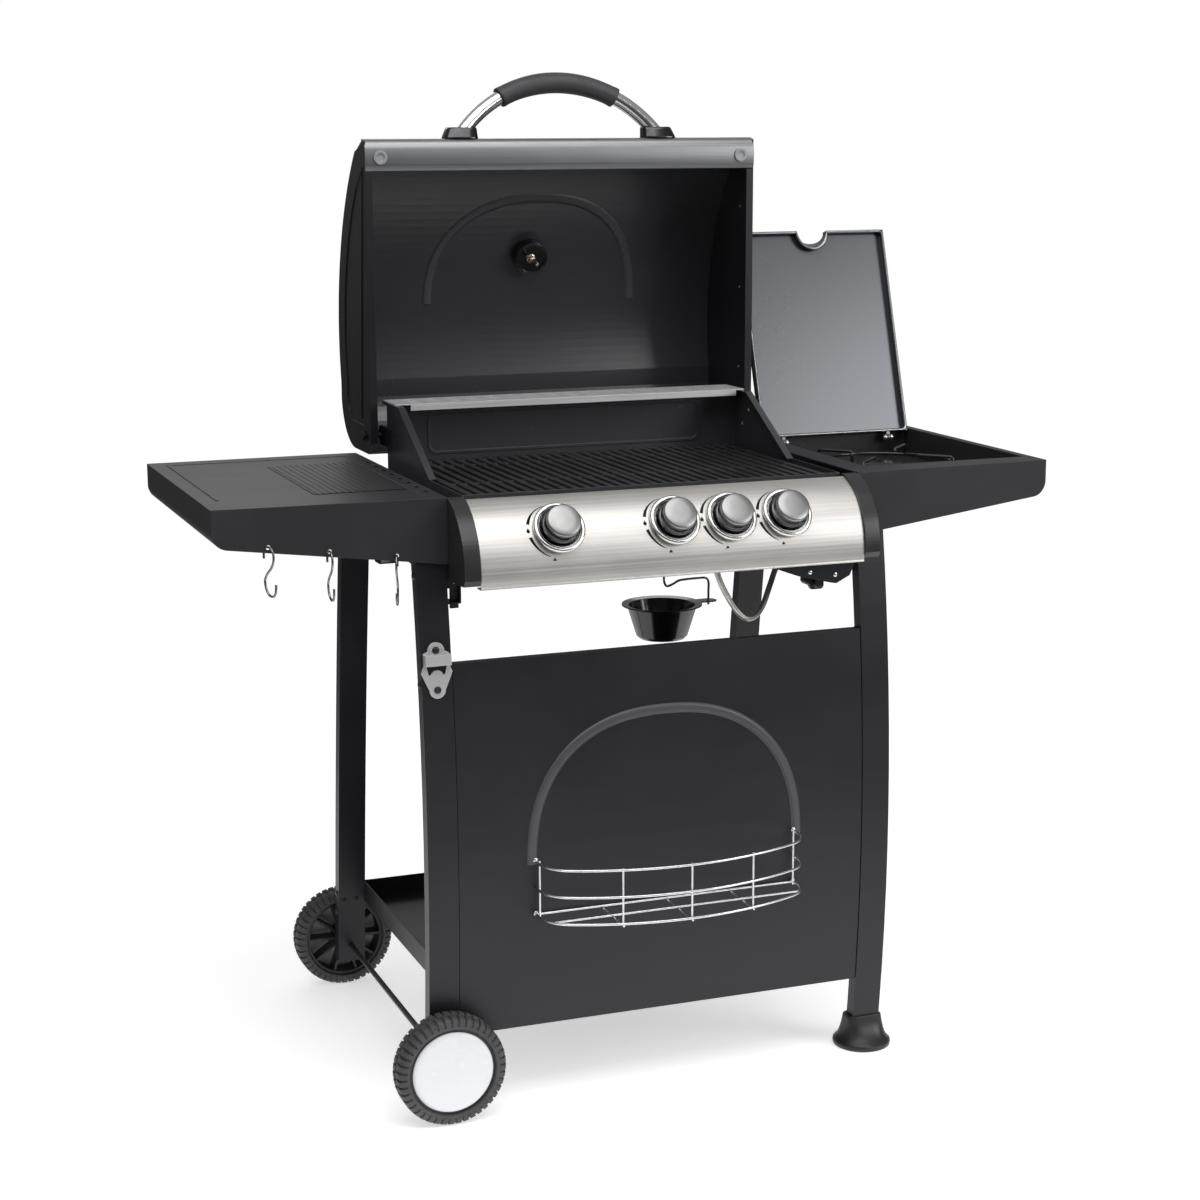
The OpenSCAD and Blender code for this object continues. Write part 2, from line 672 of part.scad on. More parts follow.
module side_hinge_post(x) {
  for (s = [-1, 1]) {
    box([x + s * 5 - 1.5, side_axis_y + 3, side_axis_z - 4], [x + s * 5 + 1.5, well[3] - eps,
        side_axis_z + 4]);
    translate([x + s * 5 - 1.5, side_axis_y, side_axis_z]) rotate([0, 90, 0]) cylinder(r = 5, h = 3);
  }
  translate([x - 8, side_axis_y, side_axis_z]) rotate([0, 90, 0]) cylinder(r = side_pin_r, h = 16);
}

module side_lid_hinges() color("#c9c9c7") for (x = side_hinge_x) side_hinge_post(x);

// The side lid, drawn closed and then leant back; a shallow pressed tray with a finger notch
module side_lid() color("#3a3c40") translate([0, side_axis_y, side_axis_z]) rotate([-side_open, 0, 0]) {
  w = [well[0] + 2, well[1] - 3];
  y = [-331, -9];
  difference() {
    box([w[0], y[0], -4], [w[1], y[1], 8]);
    box([w[0] + sheet, y[0] + sheet, -5], [w[1] - sheet, y[1] - sheet, 8 - sheet]);
    translate([(w[0] + w[1]) / 2, y[0], -5]) scale([1, 0.72, 1]) cylinder(r = 25, h = 20);
  }
  intersection() {
    difference() {
      translate([(w[0] + w[1]) / 2, y[0], -4]) scale([1, 1, 1]) cylinder(r = 27, h = 12 - sheet);
      translate([(w[0] + w[1]) / 2, y[0], -5]) cylinder(r = 25.5, h = 20);
    }
    box([w[0], y[0], -4], [w[1], y[1], 8]);
  }
  for (x = side_hinge_x) difference() {
    union() {
      translate([x - 3, 0, 0]) rotate([0, 90, 0]) cylinder(r = 5, h = 6);
      box([x - 3, y[1] - sheet, -3.5], [x + 3, -2, 3.5]);
    }
    translate([x - 10, 0, 0]) rotate([0, 90, 0]) cylinder(r = side_pin_r + 0.05, h = 20);
  }
}

// ---- Fittings on the cart ----

// The opener's own frame: its middle on the leg's face, +Z up along the leg, -Y away from it
module opener_place() translate([opener_x, front_leg_y(opener_z) - 0.5, opener_z])
  rotate([-atan(2 * (opener_z - bow_z) / (2 * bow_r)), 0, 0]) children();

// A flat plate with a raised bridge over a window, and a tongue that lifts the bottle's cap
module bottle_opener() color("#d2d3d4") opener_place() {
  difference() {
    along_y(-2, 0) polygon(concat(opener_right, opener_left));
    along_y(-3, 1) polygon([[14, 6], [11, -6], [-11, -6], [-14, 6]]);
  }
  along_y(-2, 0) intersection() {
    translate([0, -9]) circle(9);
    translate([-9, -6.5]) square([18, 7]);
  }
  for (s = [-1, 1]) box([s * 16 - 1.5, -11, 6.5], [s * 16 + 1.5, -1.5, 21]);
  box([-17.5, -12.5, 6.5], [17.5, -10.5, 21]);
}

function rail_y(x) = basket_front + basket_r - sqrt(basket_r * basket_r - x * x);

rail_corner = arc([basket_hw - basket_corner_r, basket_corner_y], basket_corner_r, 0, basket_turn - 90, 5);
rail_front = arc([0, basket_front + basket_r], basket_r, 270 + basket_turn, 270 - basket_turn, 14);
rail_right = concat([[basket_hw, basket_back]], rail_corner);
rail_plan = concat(rail_right, [for (i = [1:13]) rail_front[i]], [for (i = [len(rail_right) - 1:-1:0])
    [-rail_right[i][0], rail_right[i][1]]]);

module rail(z) wire([for (p = rail_plan) [p[0], p[1], z]], rail_r, [0, 0, 1], 8, 1);

module upright(x, y) translate([x, y, basket_z[0] - rail_r]) cylinder(r = cross_r, h = basket_z[2]
    - basket_z[0] + 2 * rail_r);

module cross_bar(y, half) translate([-half, y, basket_z[0]]) rotate([0, 90, 0]) cylinder(r = cross_r, h =
    2 * half);

// The wires lie against each other, a hair apart: uprights inside the rails, cross wires under them
module condiment_basket() color("#dcdddf") {
  apart = rail_r + cross_r + 0.05;
  for (z = basket_z) rail(z);
  for (a = [-4, 0, 4] * basket_turn / 7) upright((basket_r - apart) * sin(a), basket_front +
      basket_r - (basket_r - apart) * cos(a));
  for (s = [-1, 1]) upright(s * (basket_hw - apart), basket_back - 8);
  for (x = [-94, 0, 94]) translate([x, basket_back, basket_z[0] - apart]) rotate([90, 0, 0])
    cylinder(r = cross_r, h = basket_back - rail_y(x));
  cross_bar(basket_back - 2, basket_hw - 2);
  cross_bar(-303, basket_hw - 13);
}

// Round-headed screws on the faces of the legs and side walls
module screw_head() cylinder(r1 = 5, r2 = 3, h = 2.4);

module cart_screws() color("#9a9c9f") {
  for (s = [-1, 1], z = [130, 590, 730]) translate([s * (leg_out + 0.1), front_leg_y(z) + leg_d / 2, z])
      rotate([0, s * 90, 0]) screw_head();
  for (s = [-1, 1], z = [130, 160, 730]) translate([s * (leg_out + 0.1), rear_leg_y(z) - leg_d / 2, z])
      rotate([0, s * 90, 0]) screw_head();
  opener_place() for (z = [-26, 26]) translate([0, -2.1, z]) rotate([90, 0, 0]) screw_head();
}

// An S-hook of wire through its hole in the left apron, drawn about the hole

module hook(i) color("#cfd0d2") translate([hook_x[i], apron_y(-hook_x[i]) + sheet / 2, hook_z[i]])
  rotate([0, 0, hook_turn[i]]) wire(hook_route, 1.5, [1, 0, 0], 8, 3);

// Front face of an apron at distance x from the middle
function apron_y(x) = shelf_front_in + (shelf_front_out - shelf_front_in) * (x - shelf_in)
    / (shelf_out - shelf_in);

module hook_outer() hook(0);
module hook_middle() hook(1);
module hook_inner() hook(2);

grease_route = [[97, -20, 708], [95, -20, 703], [97, -20, 697], [98, -20, 676], [94, -20, 660], [98, -20,
    649], [108, -20, 651],
  [120, -20, 656], [150, -20, 657], [160, -20, 656], [164, -20, 650], [164, -20, 636], [164, -20, 617]];

module grease_hook() color("#8e9093") wire(grease_route, 1.7, [0, 1, 0], 8, 4);

module grease_cup() color("#1b1c1e") translate([cup_x, grease_hole[1], 0]) difference() {
  union() {
    rotate_extrude() polygon([[0, cup_rim_z - cup_h], [cup_base_r - 4, cup_rim_z - cup_h], [cup_base_r,
        cup_rim_z - cup_h + 4],
      [cup_rim_r - 8, cup_rim_z - 4], [cup_rim_r, cup_rim_z - 2], [cup_rim_r, cup_rim_z],
          [cup_rim_r - 10, cup_rim_z - 1.6],
      [cup_base_r - 2, cup_rim_z - cup_h + 5], [cup_base_r - 6, cup_rim_z - cup_h + 1.6], [0,
          cup_rim_z - cup_h + 1.6]]);
    difference() {
      translate([0, 0, cup_rim_z - 1.8]) linear_extrude(1.6) {
        translate([56, -11]) square([18, 22]);
        translate([74, 0]) circle(11);
      }
      translate([0, 0, cup_rim_z - 3]) cylinder(r = cup_rim_r - 4, h = 4);
    }
  }
  translate([73, 0, cup_rim_z - 4]) cylinder(r = 1.9, h = 8);
}

// ---- Main lid, drawn open ----

function lid_outline(in_by, mouth) = concat([[lid_corner[0] - mouth, lid_top_z - in_by]],
  arc(lid_arc_c, lid_r - in_by, lid_arc_from, lid_arc_to, 30), arc(lid_low_c, lid_low_r - in_by, -8, -90,
      14),
  [[lid_mouth_y - mouth, lid_bottom_z + in_by]]);

module thermo_place(r) translate([thermo_x, lid_arc_c[0] + r * cos(thermo_angle), lid_arc_c[1] +
    r * sin(thermo_angle)])
  rotate([thermo_angle - 90, 0, 0]) children();

module lid_shell() color("#2c2e31") difference() {
  union() {
    difference() {
      along_x(-lid_hw + sheet, lid_hw - sheet) polygon(lid_outline(0, 0));
      along_x(-lid_hw, lid_hw) polygon(lid_outline(sheet, 30));
    }
    intersection() {
      along_y(200, 300) arch_ridge(166, 1038, 1198, 8);
      along_x(-200, 200) polygon(concat(arc(lid_arc_c, lid_r - sheet / 2, 40, 0, 20), arc(lid_arc_c,
          lid_r - sheet - 1.6, 0, 40, 20)));
    }
  }
  thermo_place(lid_r - 20) cylinder(r = 6, h = 40);
}

// Pressed side panels with a raised inset line, an inward rim and the hinge bores
module lid_side_plate(inset, low) polygon(concat([[lid_corner[0] - 16 + inset / 3, lid_top_z - 2 - inset]],
  arc(lid_arc_c, lid_r - inset, lid_arc_from - inset / 9, lid_arc_to, 30), arc(lid_low_c,
      lid_low_r - inset, -8, -90, 14),
  [[lid_mouth_y + inset / 2, lid_bottom_z + inset], [rim_y + inset * 1.2, lid_bottom_z + 12 + inset]]));

module lid_ends() color("#25272a") mirrored() difference() {
  union() {
    along_x(lid_hw - sheet + 0.02, lid_hw) lid_side_plate(0);
    difference() {
      along_x(lid_hw, lid_hw + 1.6) lid_side_plate(36);
      along_x(lid_hw - cut, lid_hw + 3) lid_side_plate(40);
    }
    box([lid_hw - 11, rim_y, lid_bottom_z + 16], [lid_hw - sheet + 0.1, rim_y + sheet, 1236]);
    hinge_pin(lid_hw - 4, lid_hw, 13);
  }
  hinge_pin(lid_hw - 20, lid_hw + 20, hinge_pin_r + 0.05);
}

// Rolled front edge of the lid
module lid_front_lip() color("#8c8f92") along_x(-lid_hw + sheet + eps, lid_hw - sheet - eps) difference() {
  polygon([[rim_y, 1238], [rim_y, 1276], [rim_y + 4, lid_top_z - 1.8], [lid_corner[0] - eps,
      lid_top_z - 1.8],
    [lid_corner[0] - eps, lid_top_z - 3.4], [rim_y + 5, 1277], [rim_y + 1.6, 1274], [rim_y + 1.6, 1238]]);
}

module lid_bumpers() color("#55585b") mirrored() translate([271, rim_y - 0.05, 1253]) rotate([90, 0, 0])
    cylinder(r1 = 8, r2 = 7, h = 3.6);

module handle_place() translate([0, handle_y, lid_top_z]) rotate([-handle_lean, 0, 0]) translate([0, 0,
    handle_c_z - lid_top_z]) children();

module handle_sweep(a0, a1) rotate([90, 0, 0]) rotate([0, 0, a0 + 90]) rotate_extrude(angle = a1 - a0,
    $fn = 128) children();

module handle_tube() color("#c3c4c6") handle_place() handle_sweep(-tube_end_angle, tube_end_angle)
    translate([handle_r, 0]) circle(tube_r);

module handle_grip() color("#232426") handle_place() {
  a = grip_angle;
  handle_sweep(-a, a) translate([handle_r, 0]) difference() {
    circle(14.4);
    circle(tube_r + 0.02);
  }
  for (s = [-1, 1]) handle_sweep(s * (a - 1.6) - 1.4, s * (a - 1.6) + 1.4) translate([handle_r, 0])
      difference() {
    circle(15);
    circle(11.5);
  }
}

module handle_ferrules() color("#1a1b1c") {
  handle_place() for (s = [-1, 1]) handle_sweep(s * (tube_end_angle + 1.7) - 1.5, s * (tube_end_angle +
      1.7) + 1.5) translate([handle_r, 0]) circle(12.6);
  mirrored() hull() {
    translate([130, handle_y - 12, lid_top_z + 0.3]) cube([48, 24, 1.6]);
    translate([138, handle_y - 10, lid_top_z + 9]) cube([26, 20, 2]);
  }
}

module thermometer_case() color("#c9cacc") thermo_place(0) difference() {
  rotate_extrude() polygon([[0, lid_r + 0.3], [27, lid_r + 0.3], [30, lid_r + 2], [30, lid_r + 10], [28,
      lid_r + 12], [26, lid_r + 12],
    [26, lid_r + 8], [0, lid_r + 8]]);
  translate([0, 0, lid_r - 1]) cylinder(r = 3.1, h = 10);
}

module thermometer_dial() color("#f2f2ee") thermo_place(lid_r + 8.1) {
  cylinder(r = 25.7, h = 0.6);
  translate([-0.8, -4, 0.6]) cube([1.6, 24, 0.8]);
  cylinder(r = 2.5, h = 1.8);
}

module thermometer_probe() color("#b99a5b") thermo_place(0) {
  translate([0, 0, lid_r - 46]) cylinder(r = 3, h = 54);
  difference() {
    translate([0, 0, lid_r - 26]) cylinder(r = 22, h = 22);
    translate([0, 0, lid_r - 27]) cylinder(r = 20.8, h = 21);
  }
  for (s = [-1, 1]) translate([s * 6, 0, lid_r - 30]) rotate([0, s * 35, 0]) translate([-1.2, -4, -8])
      cube([2.4, 8, 12]);
  translate([0, 0, lid_r - 34]) cylinder(r = 5.5, h = 8);
}

place() leg_front_left();
place() leg_front_right();
place() leg_rear_left();
place() leg_rear_right();
place() upper_frame();
place() bottom_shelf();
place() front_panel();
place() feet();
place() axle();
place() firebox();
place() lid_hinges();
place() control_fascia();
place() fascia_end_caps();
place() knob_bezels();
place() gas_manifold();
place() gas_valves();
place() main_burners();
place() flame_tamers();
place() igniter_electrodes();
place() cooking_grates();
place() warming_rack();
place() left_shelf();
place() right_shelf();
place() side_burner();
place() pan_support();
place() side_burner_pipe();
place() side_lid_hinges();
place() bottle_opener();
place() condiment_basket();
place() cart_screws();
place() tyre_front();
place() tyre_rear();
place() rim_front();
place() rim_rear();
place() hub_cap_front();
place() hub_cap_rear();
place() hook_outer();
place() hook_middle();
place() hook_inner();
place() grease_hook();
place() grease_cup();
place() lid_shell();
place() lid_ends();
place() lid_front_lip();
place() lid_bumpers();
place() handle_tube();
place() handle_grip();
place() handle_ferrules();
place() thermometer_case();
place() thermometer_dial();
place() thermometer_probe();
place() side_lid();
place() knob_1();
place() knob_2();
place() knob_3();
place() knob_4();
place() valve_stem_1();
place() valve_stem_2();
place() valve_stem_3();
place() valve_stem_4();
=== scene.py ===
"""Looks of a gas barbecue grill on a two-wheeled cart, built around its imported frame."""
import json
import math

import bmesh
import bpy
from mathutils import Matrix, Vector


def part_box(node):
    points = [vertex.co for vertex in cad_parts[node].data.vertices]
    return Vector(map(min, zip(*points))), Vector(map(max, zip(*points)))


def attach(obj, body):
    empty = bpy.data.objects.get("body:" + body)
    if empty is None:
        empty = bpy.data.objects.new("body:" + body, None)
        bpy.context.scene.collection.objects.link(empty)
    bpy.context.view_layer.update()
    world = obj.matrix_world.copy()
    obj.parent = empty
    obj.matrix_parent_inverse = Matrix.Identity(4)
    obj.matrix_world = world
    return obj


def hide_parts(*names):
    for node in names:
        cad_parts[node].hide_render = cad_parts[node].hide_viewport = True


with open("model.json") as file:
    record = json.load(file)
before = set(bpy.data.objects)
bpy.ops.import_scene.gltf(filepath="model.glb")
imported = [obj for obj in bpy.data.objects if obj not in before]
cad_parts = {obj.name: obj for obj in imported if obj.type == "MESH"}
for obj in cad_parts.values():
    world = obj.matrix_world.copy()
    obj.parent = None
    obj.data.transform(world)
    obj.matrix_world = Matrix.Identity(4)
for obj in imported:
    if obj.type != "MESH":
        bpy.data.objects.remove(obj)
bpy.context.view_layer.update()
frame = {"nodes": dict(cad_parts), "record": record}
NODES = frame["nodes"]
MM = 0.001
CART_SHIFT = 18.5          # the cart's own zero line is this far in front of the grill's middle


def at(x, y, z):
    """A point given in the cart's millimetres."""
    return Vector((x, y + CART_SHIFT, z)) * MM


# ---- shader groups ----

class Wiring:
    """Short ways to add nodes to a tree and to join them."""

    def __init__(self, tree):
        self.tree = tree

    def add(self, kind, inputs=None, **settings):
        node = self.tree.nodes.new(kind)
        for name, value in settings.items():
            setattr(node, name, value)
        for name, value in (inputs or {}).items():
            self.feed(node.inputs[name], value)
        return node

    def feed(self, socket, value):
        if isinstance(value, bpy.types.NodeSocket):
            self.tree.links.new(value, socket)
        else:
            socket.default_value = value

    def sum_of(self, operation, first, second=0.0):
        node = self.add("ShaderNodeMath", operation=operation)
        self.feed(node.inputs[0], first)
        self.feed(node.inputs[1], second)
        return node.outputs[0]

    def spread(self, value, low, high, to_low=0.0, to_high=1.0):
        node = self.add("ShaderNodeMapRange", {"Value": value, "From Min": low, "From Max": high,
                                               "To Min": to_low, "To Max": to_high})
        return node.outputs[0]

    def blend(self, factor, first, second):
        node = self.add("ShaderNodeMix", data_type="RGBA")
        self.feed(node.inputs[0], factor)
        self.feed(node.inputs[6], first)
        self.feed(node.inputs[7], second)
        return node.outputs[2]

    def grey(self, value):
        node = self.add("ShaderNodeCombineColor", {"Red": value, "Green": value, "Blue": value})
        return node.outputs[0]

    def here(self):
        return self.add("ShaderNodeTexCoord").outputs["Object"]

    def noise(self, where, scale, detail=3.0, roughness=0.55):
        node = self.add("ShaderNodeTexNoise", {"Vector": where, "Scale": scale, "Detail": detail,
                                               "Roughness": roughness})
        return node.outputs["Fac"]


COLOUR, NUMBER, ARROW = "NodeSocketColor", "NodeSocketFloat", "NodeSocketVector"


def shader_group(name, takes, gives):
    """An empty group with named inputs (name, kind, usual value) and outputs (name, kind)."""
    tree = bpy.data.node_groups.new(name, "ShaderNodeTree")
    for label, kind, usual in takes:
        socket = tree.interface.new_socket(name=label, in_out="INPUT", socket_type=kind)
        socket.default_value = usual
    for label, kind in gives:
        tree.interface.new_socket(name=label, in_out="OUTPUT", socket_type=kind)
    wiring = Wiring(tree)
    return wiring, wiring.add("NodeGroupInput").outputs, wiring.add("NodeGroupOutput").inputs


SKIN = [("Colour", COLOUR), ("Roughness", NUMBER), ("Height", NUMBER)]


def make_powder_coat():
    """Baked paint: a fine peel, faint cloudy tone and a few pale specks."""
    w, takes, gives = shader_group("powder_coat", [
        ("Colour", COLOUR, (0.012, 0.013, 0.014, 1)), ("Cloud Colour", COLOUR, (0.02, 0.021, 0.023, 1)),
        ("Peel Scale", NUMBER, 900.0), ("Cloud Scale", NUMBER, 7.0),
        ("Smoothest", NUMBER, 0.3), ("Roughest", NUMBER, 0.45)], SKIN)
    place = w.here()
    peel = w.noise(place, takes["Peel Scale"], 2.0)
    cloud = w.noise(place, takes["Cloud Scale"], 5.0, 0.6)
    speck = w.spread(w.noise(place, 420.0, 1.0), 0.74, 0.8, 0.0, 0.5)
    tone = w.blend(w.spread(cloud, 0.35, 0.7), takes["Colour"], takes["Cloud Colour"])
    w.feed(gives["Colour"], w.blend(speck, tone, takes["Cloud Colour"]))
    w.feed(gives["Roughness"], w.spread(cloud, 0.3, 0.7, takes["Smoothest"], takes["Roughest"]))
    w.feed(gives["Height"], peel)


def make_brushed_lines():
    """Metal brushed one way: Stretch is how fine the lines are along x, y and z."""
    w, takes, gives = shader_group("brushed_lines", [
        ("Colour", COLOUR, (0.6, 0.6, 0.58, 1)), ("Dark Colour", COLOUR, (0.4, 0.4, 0.38, 1)),
        ("Stretch", ARROW, (6.0, 900.0, 900.0)), ("Smoothest", NUMBER, 0.22),
        ("Roughest", NUMBER, 0.4)], SKIN)
    place = w.here()
    drawn = w.add("ShaderNodeVectorMath", operation="MULTIPLY")
    w.feed(drawn.inputs[0], place)
    w.feed(drawn.inputs[1], takes["Stretch"])
    lines = w.noise(drawn.outputs[0], 1.0, 4.0, 0.7)
    marks = w.noise(place, 14.0, 4.0)
    w.feed(gives["Colour"], w.blend(w.spread(lines, 0.3, 0.7), takes["Dark Colour"], takes["Colour"]))
    mixed = w.sum_of("ADD", w.sum_of("MULTIPLY", lines, 0.6), w.sum_of("MULTIPLY", marks, 0.4))
    w.feed(gives["Roughness"], w.spread(mixed, 0.3, 0.7, takes["Smoothest"], takes["Roughest"]))
    w.feed(gives["Height"], lines)


def make_moulded_grain():
    """Moulded plastic or rubber: small pebbles with a little uneven gloss."""
    w, takes, gives = shader_group("moulded_grain", [
        ("Colour", COLOUR, (0.016, 0.016, 0.017, 1)), ("Worn Colour", COLOUR, (0.03, 0.03, 0.031, 1)),
        ("Pebble Scale", NUMBER, 1400.0), ("Smoothest", NUMBER, 0.4), ("Roughest", NUMBER, 0.6)], SKIN)
    place = w.here()
    pebble = w.add("ShaderNodeTexVoronoi", {"Vector": place, "Scale": takes["Pebble Scale"]})
    rubbed = w.noise(place, 22.0, 5.0, 0.6)
    w.feed(gives["Colour"], w.blend(w.spread(rubbed, 0.45, 0.75), takes["Colour"], takes["Worn Colour"]))
    w.feed(gives["Roughness"], w.spread(rubbed, 0.3, 0.7, takes["Roughest"], takes["Smoothest"]))
    w.feed(gives["Height"], pebble.outputs["Distance"])


def make_plated_metal():
    """Plate or drawn metal with fine haze and handling marks."""
    w, takes, gives = shader_group("plated_metal", [
        ("Colour", COLOUR, (0.7, 0.7, 0.7, 1)), ("Haze Colour", COLOUR, (0.55, 0.55, 0.55, 1)),
        ("Haze Scale", NUMBER, 60.0), ("Smoothest", NUMBER, 0.12), ("Roughest", NUMBER, 0.3)], SKIN)
    place = w.here()
    haze = w.noise(place, takes["Haze Scale"], 6.0, 0.65)
    fine = w.noise(place, 1500.0, 2.0)
    w.feed(gives["Colour"], w.blend(w.spread(haze, 0.4, 0.75), takes["Colour"], takes["Haze Colour"]))
    w.feed(gives["Roughness"], w.spread(haze, 0.3, 0.7, takes["Smoothest"], takes["Roughest"]))
    w.feed(gives["Height"], fine)


def make_heat_tint():
    """Straw and blue bands that heat leaves on steel, in patches."""
    w, takes, gives = shader_group("heat_tint", [
        ("Colour", COLOUR, (0.5, 0.5, 0.5, 1)), ("Straw", COLOUR, (0.42, 0.27, 0.12, 1)),
        ("Blue", COLOUR, (0.12, 0.14, 0.26, 1)), ("Heat", NUMBER, 0.5)], [("Colour", COLOUR)])
    place = w.here()
    patch = w.noise(place, 9.0, 3.0)
    warm = w.sum_of("MULTIPLY", w.spread(patch, 0.4, 0.6), takes["Heat"])
    hot = w.sum_of("MULTIPLY", w.spread(patch, 0.55, 0.75), takes["Heat"])
    w.feed(gives["Colour"], w.blend(hot, w.blend(warm, takes["Colour"], takes["Straw"]), takes["Blue"]))


def make_edge_wear():
    """Rounds the light over sharp edges, and rubs the finish along them."""
    w, takes, gives = shader_group("edge_wear", [
        ("Colour", COLOUR, (0.02, 0.02, 0.02, 1)), ("Bare Colour", COLOUR, (0.2, 0.2, 0.2, 1)),
        ("Edge Width", NUMBER, 0.0012), ("Wear", NUMBER, 0.5)],
        [("Colour", COLOUR), ("Soft Normal", ARROW)])
    place = w.here()
    soft = w.add("ShaderNodeBevel", {"Radius": takes["Edge Width"]}, samples=4)
    flat = w.add("ShaderNodeNewGeometry").outputs["Normal"]
    lean = w.add("ShaderNodeVectorMath", operation="DOT_PRODUCT")
    w.feed(lean.inputs[0], soft.outputs[0])
    w.feed(lean.inputs[1], flat)
    edge = w.spread(lean.outputs["Value"], 0.985, 0.88)
    patchy = w.spread(w.noise(place, 130.0, 4.0, 0.7), 0.35, 0.65)
    worn = w.sum_of("MULTIPLY", w.sum_of("MULTIPLY", edge, patchy), takes["Wear"])
    w.feed(gives["Colour"], w.blend(worn, takes["Colour"], takes["Bare Colour"]))
    w.feed(gives["Soft Normal"], soft.outputs[0])


for make in (make_powder_coat, make_brushed_lines, make_moulded_grain, make_plated_metal,
             make_heat_tint, make_edge_wear):
    make()

FINISHES = {}
SECOND_COLOUR = {"powder_coat": "Cloud Colour", "brushed_lines": "Dark Colour",
                 "moulded_grain": "Worn Colour", "plated_metal": "Haze Colour"}
RELIEF = 0.0002            # height of the surface grain, in metres


def rgb(tone):
    """A colour from (red, green, blue), or a grey from one number."""
    red, green, blue = tone if isinstance(tone, tuple) else (tone, tone, tone)
    return (red, green, blue, 1.0)


def place_skin(w, skin, tone, second_tone, gloss, grain):
    """A skin group with its two colours, its least and greatest roughness and its grain."""
    values = {"Colour": rgb(tone), SECOND_COLOUR[skin]: rgb(second_tone),
              "Smoothest": gloss[0], "Roughest": gloss[1], **grain}
    return w.add("ShaderNodeGroup", values, node_tree=bpy.data.node_groups[skin])


def finish(name, skin, tone, second_tone, gloss, grain=None, metallic=0.0, bump=0.08, bare=None,
           wear=0.4, edge_width=0.0012, heat=None, **constants):
    """A material: a skin group, its edges rubbed towards bare, and constants set on the shader."""
    material = bpy.data.materials.new(name)
    material.use_nodes = True
    w = Wiring(material.node_tree)
    shader = w.tree.nodes["Principled BSDF"]
    group = place_skin(w, skin, tone, second_tone, gloss, grain or {})
    colour = group.outputs["Colour"]
    if heat is not None:
        tint = w.add("ShaderNodeGroup", {"Colour": colour, "Heat": heat},
                     node_tree=bpy.data.node_groups["heat_tint"])
        colour = tint.outputs["Colour"]
    bare_colour = rgb(tone if bare is None else bare)
    edge = w.add("ShaderNodeGroup", {"Colour": colour, "Bare Colour": bare_colour, "Wear": wear,
                                     "Edge Width": edge_width},
                 node_tree=bpy.data.node_groups["edge_wear"])
    w.feed(shader.inputs["Base Color"], edge.outputs["Colour"])
    w.feed(shader.inputs["Roughness"], group.outputs["Roughness"])
    grain_relief = w.add("ShaderNodeBump", {"Strength": bump, "Distance": RELIEF,
                                            "Height": group.outputs["Height"],
                                            "Normal": edge.outputs["Soft Normal"]})
    w.feed(shader.inputs["Normal"], grain_relief.outputs[0])
    shader.inputs["Metallic"].default_value = metallic
    for label, value in constants.items():
        shader.inputs[label.replace("_", " ")].default_value = value
    FINISHES[name] = material


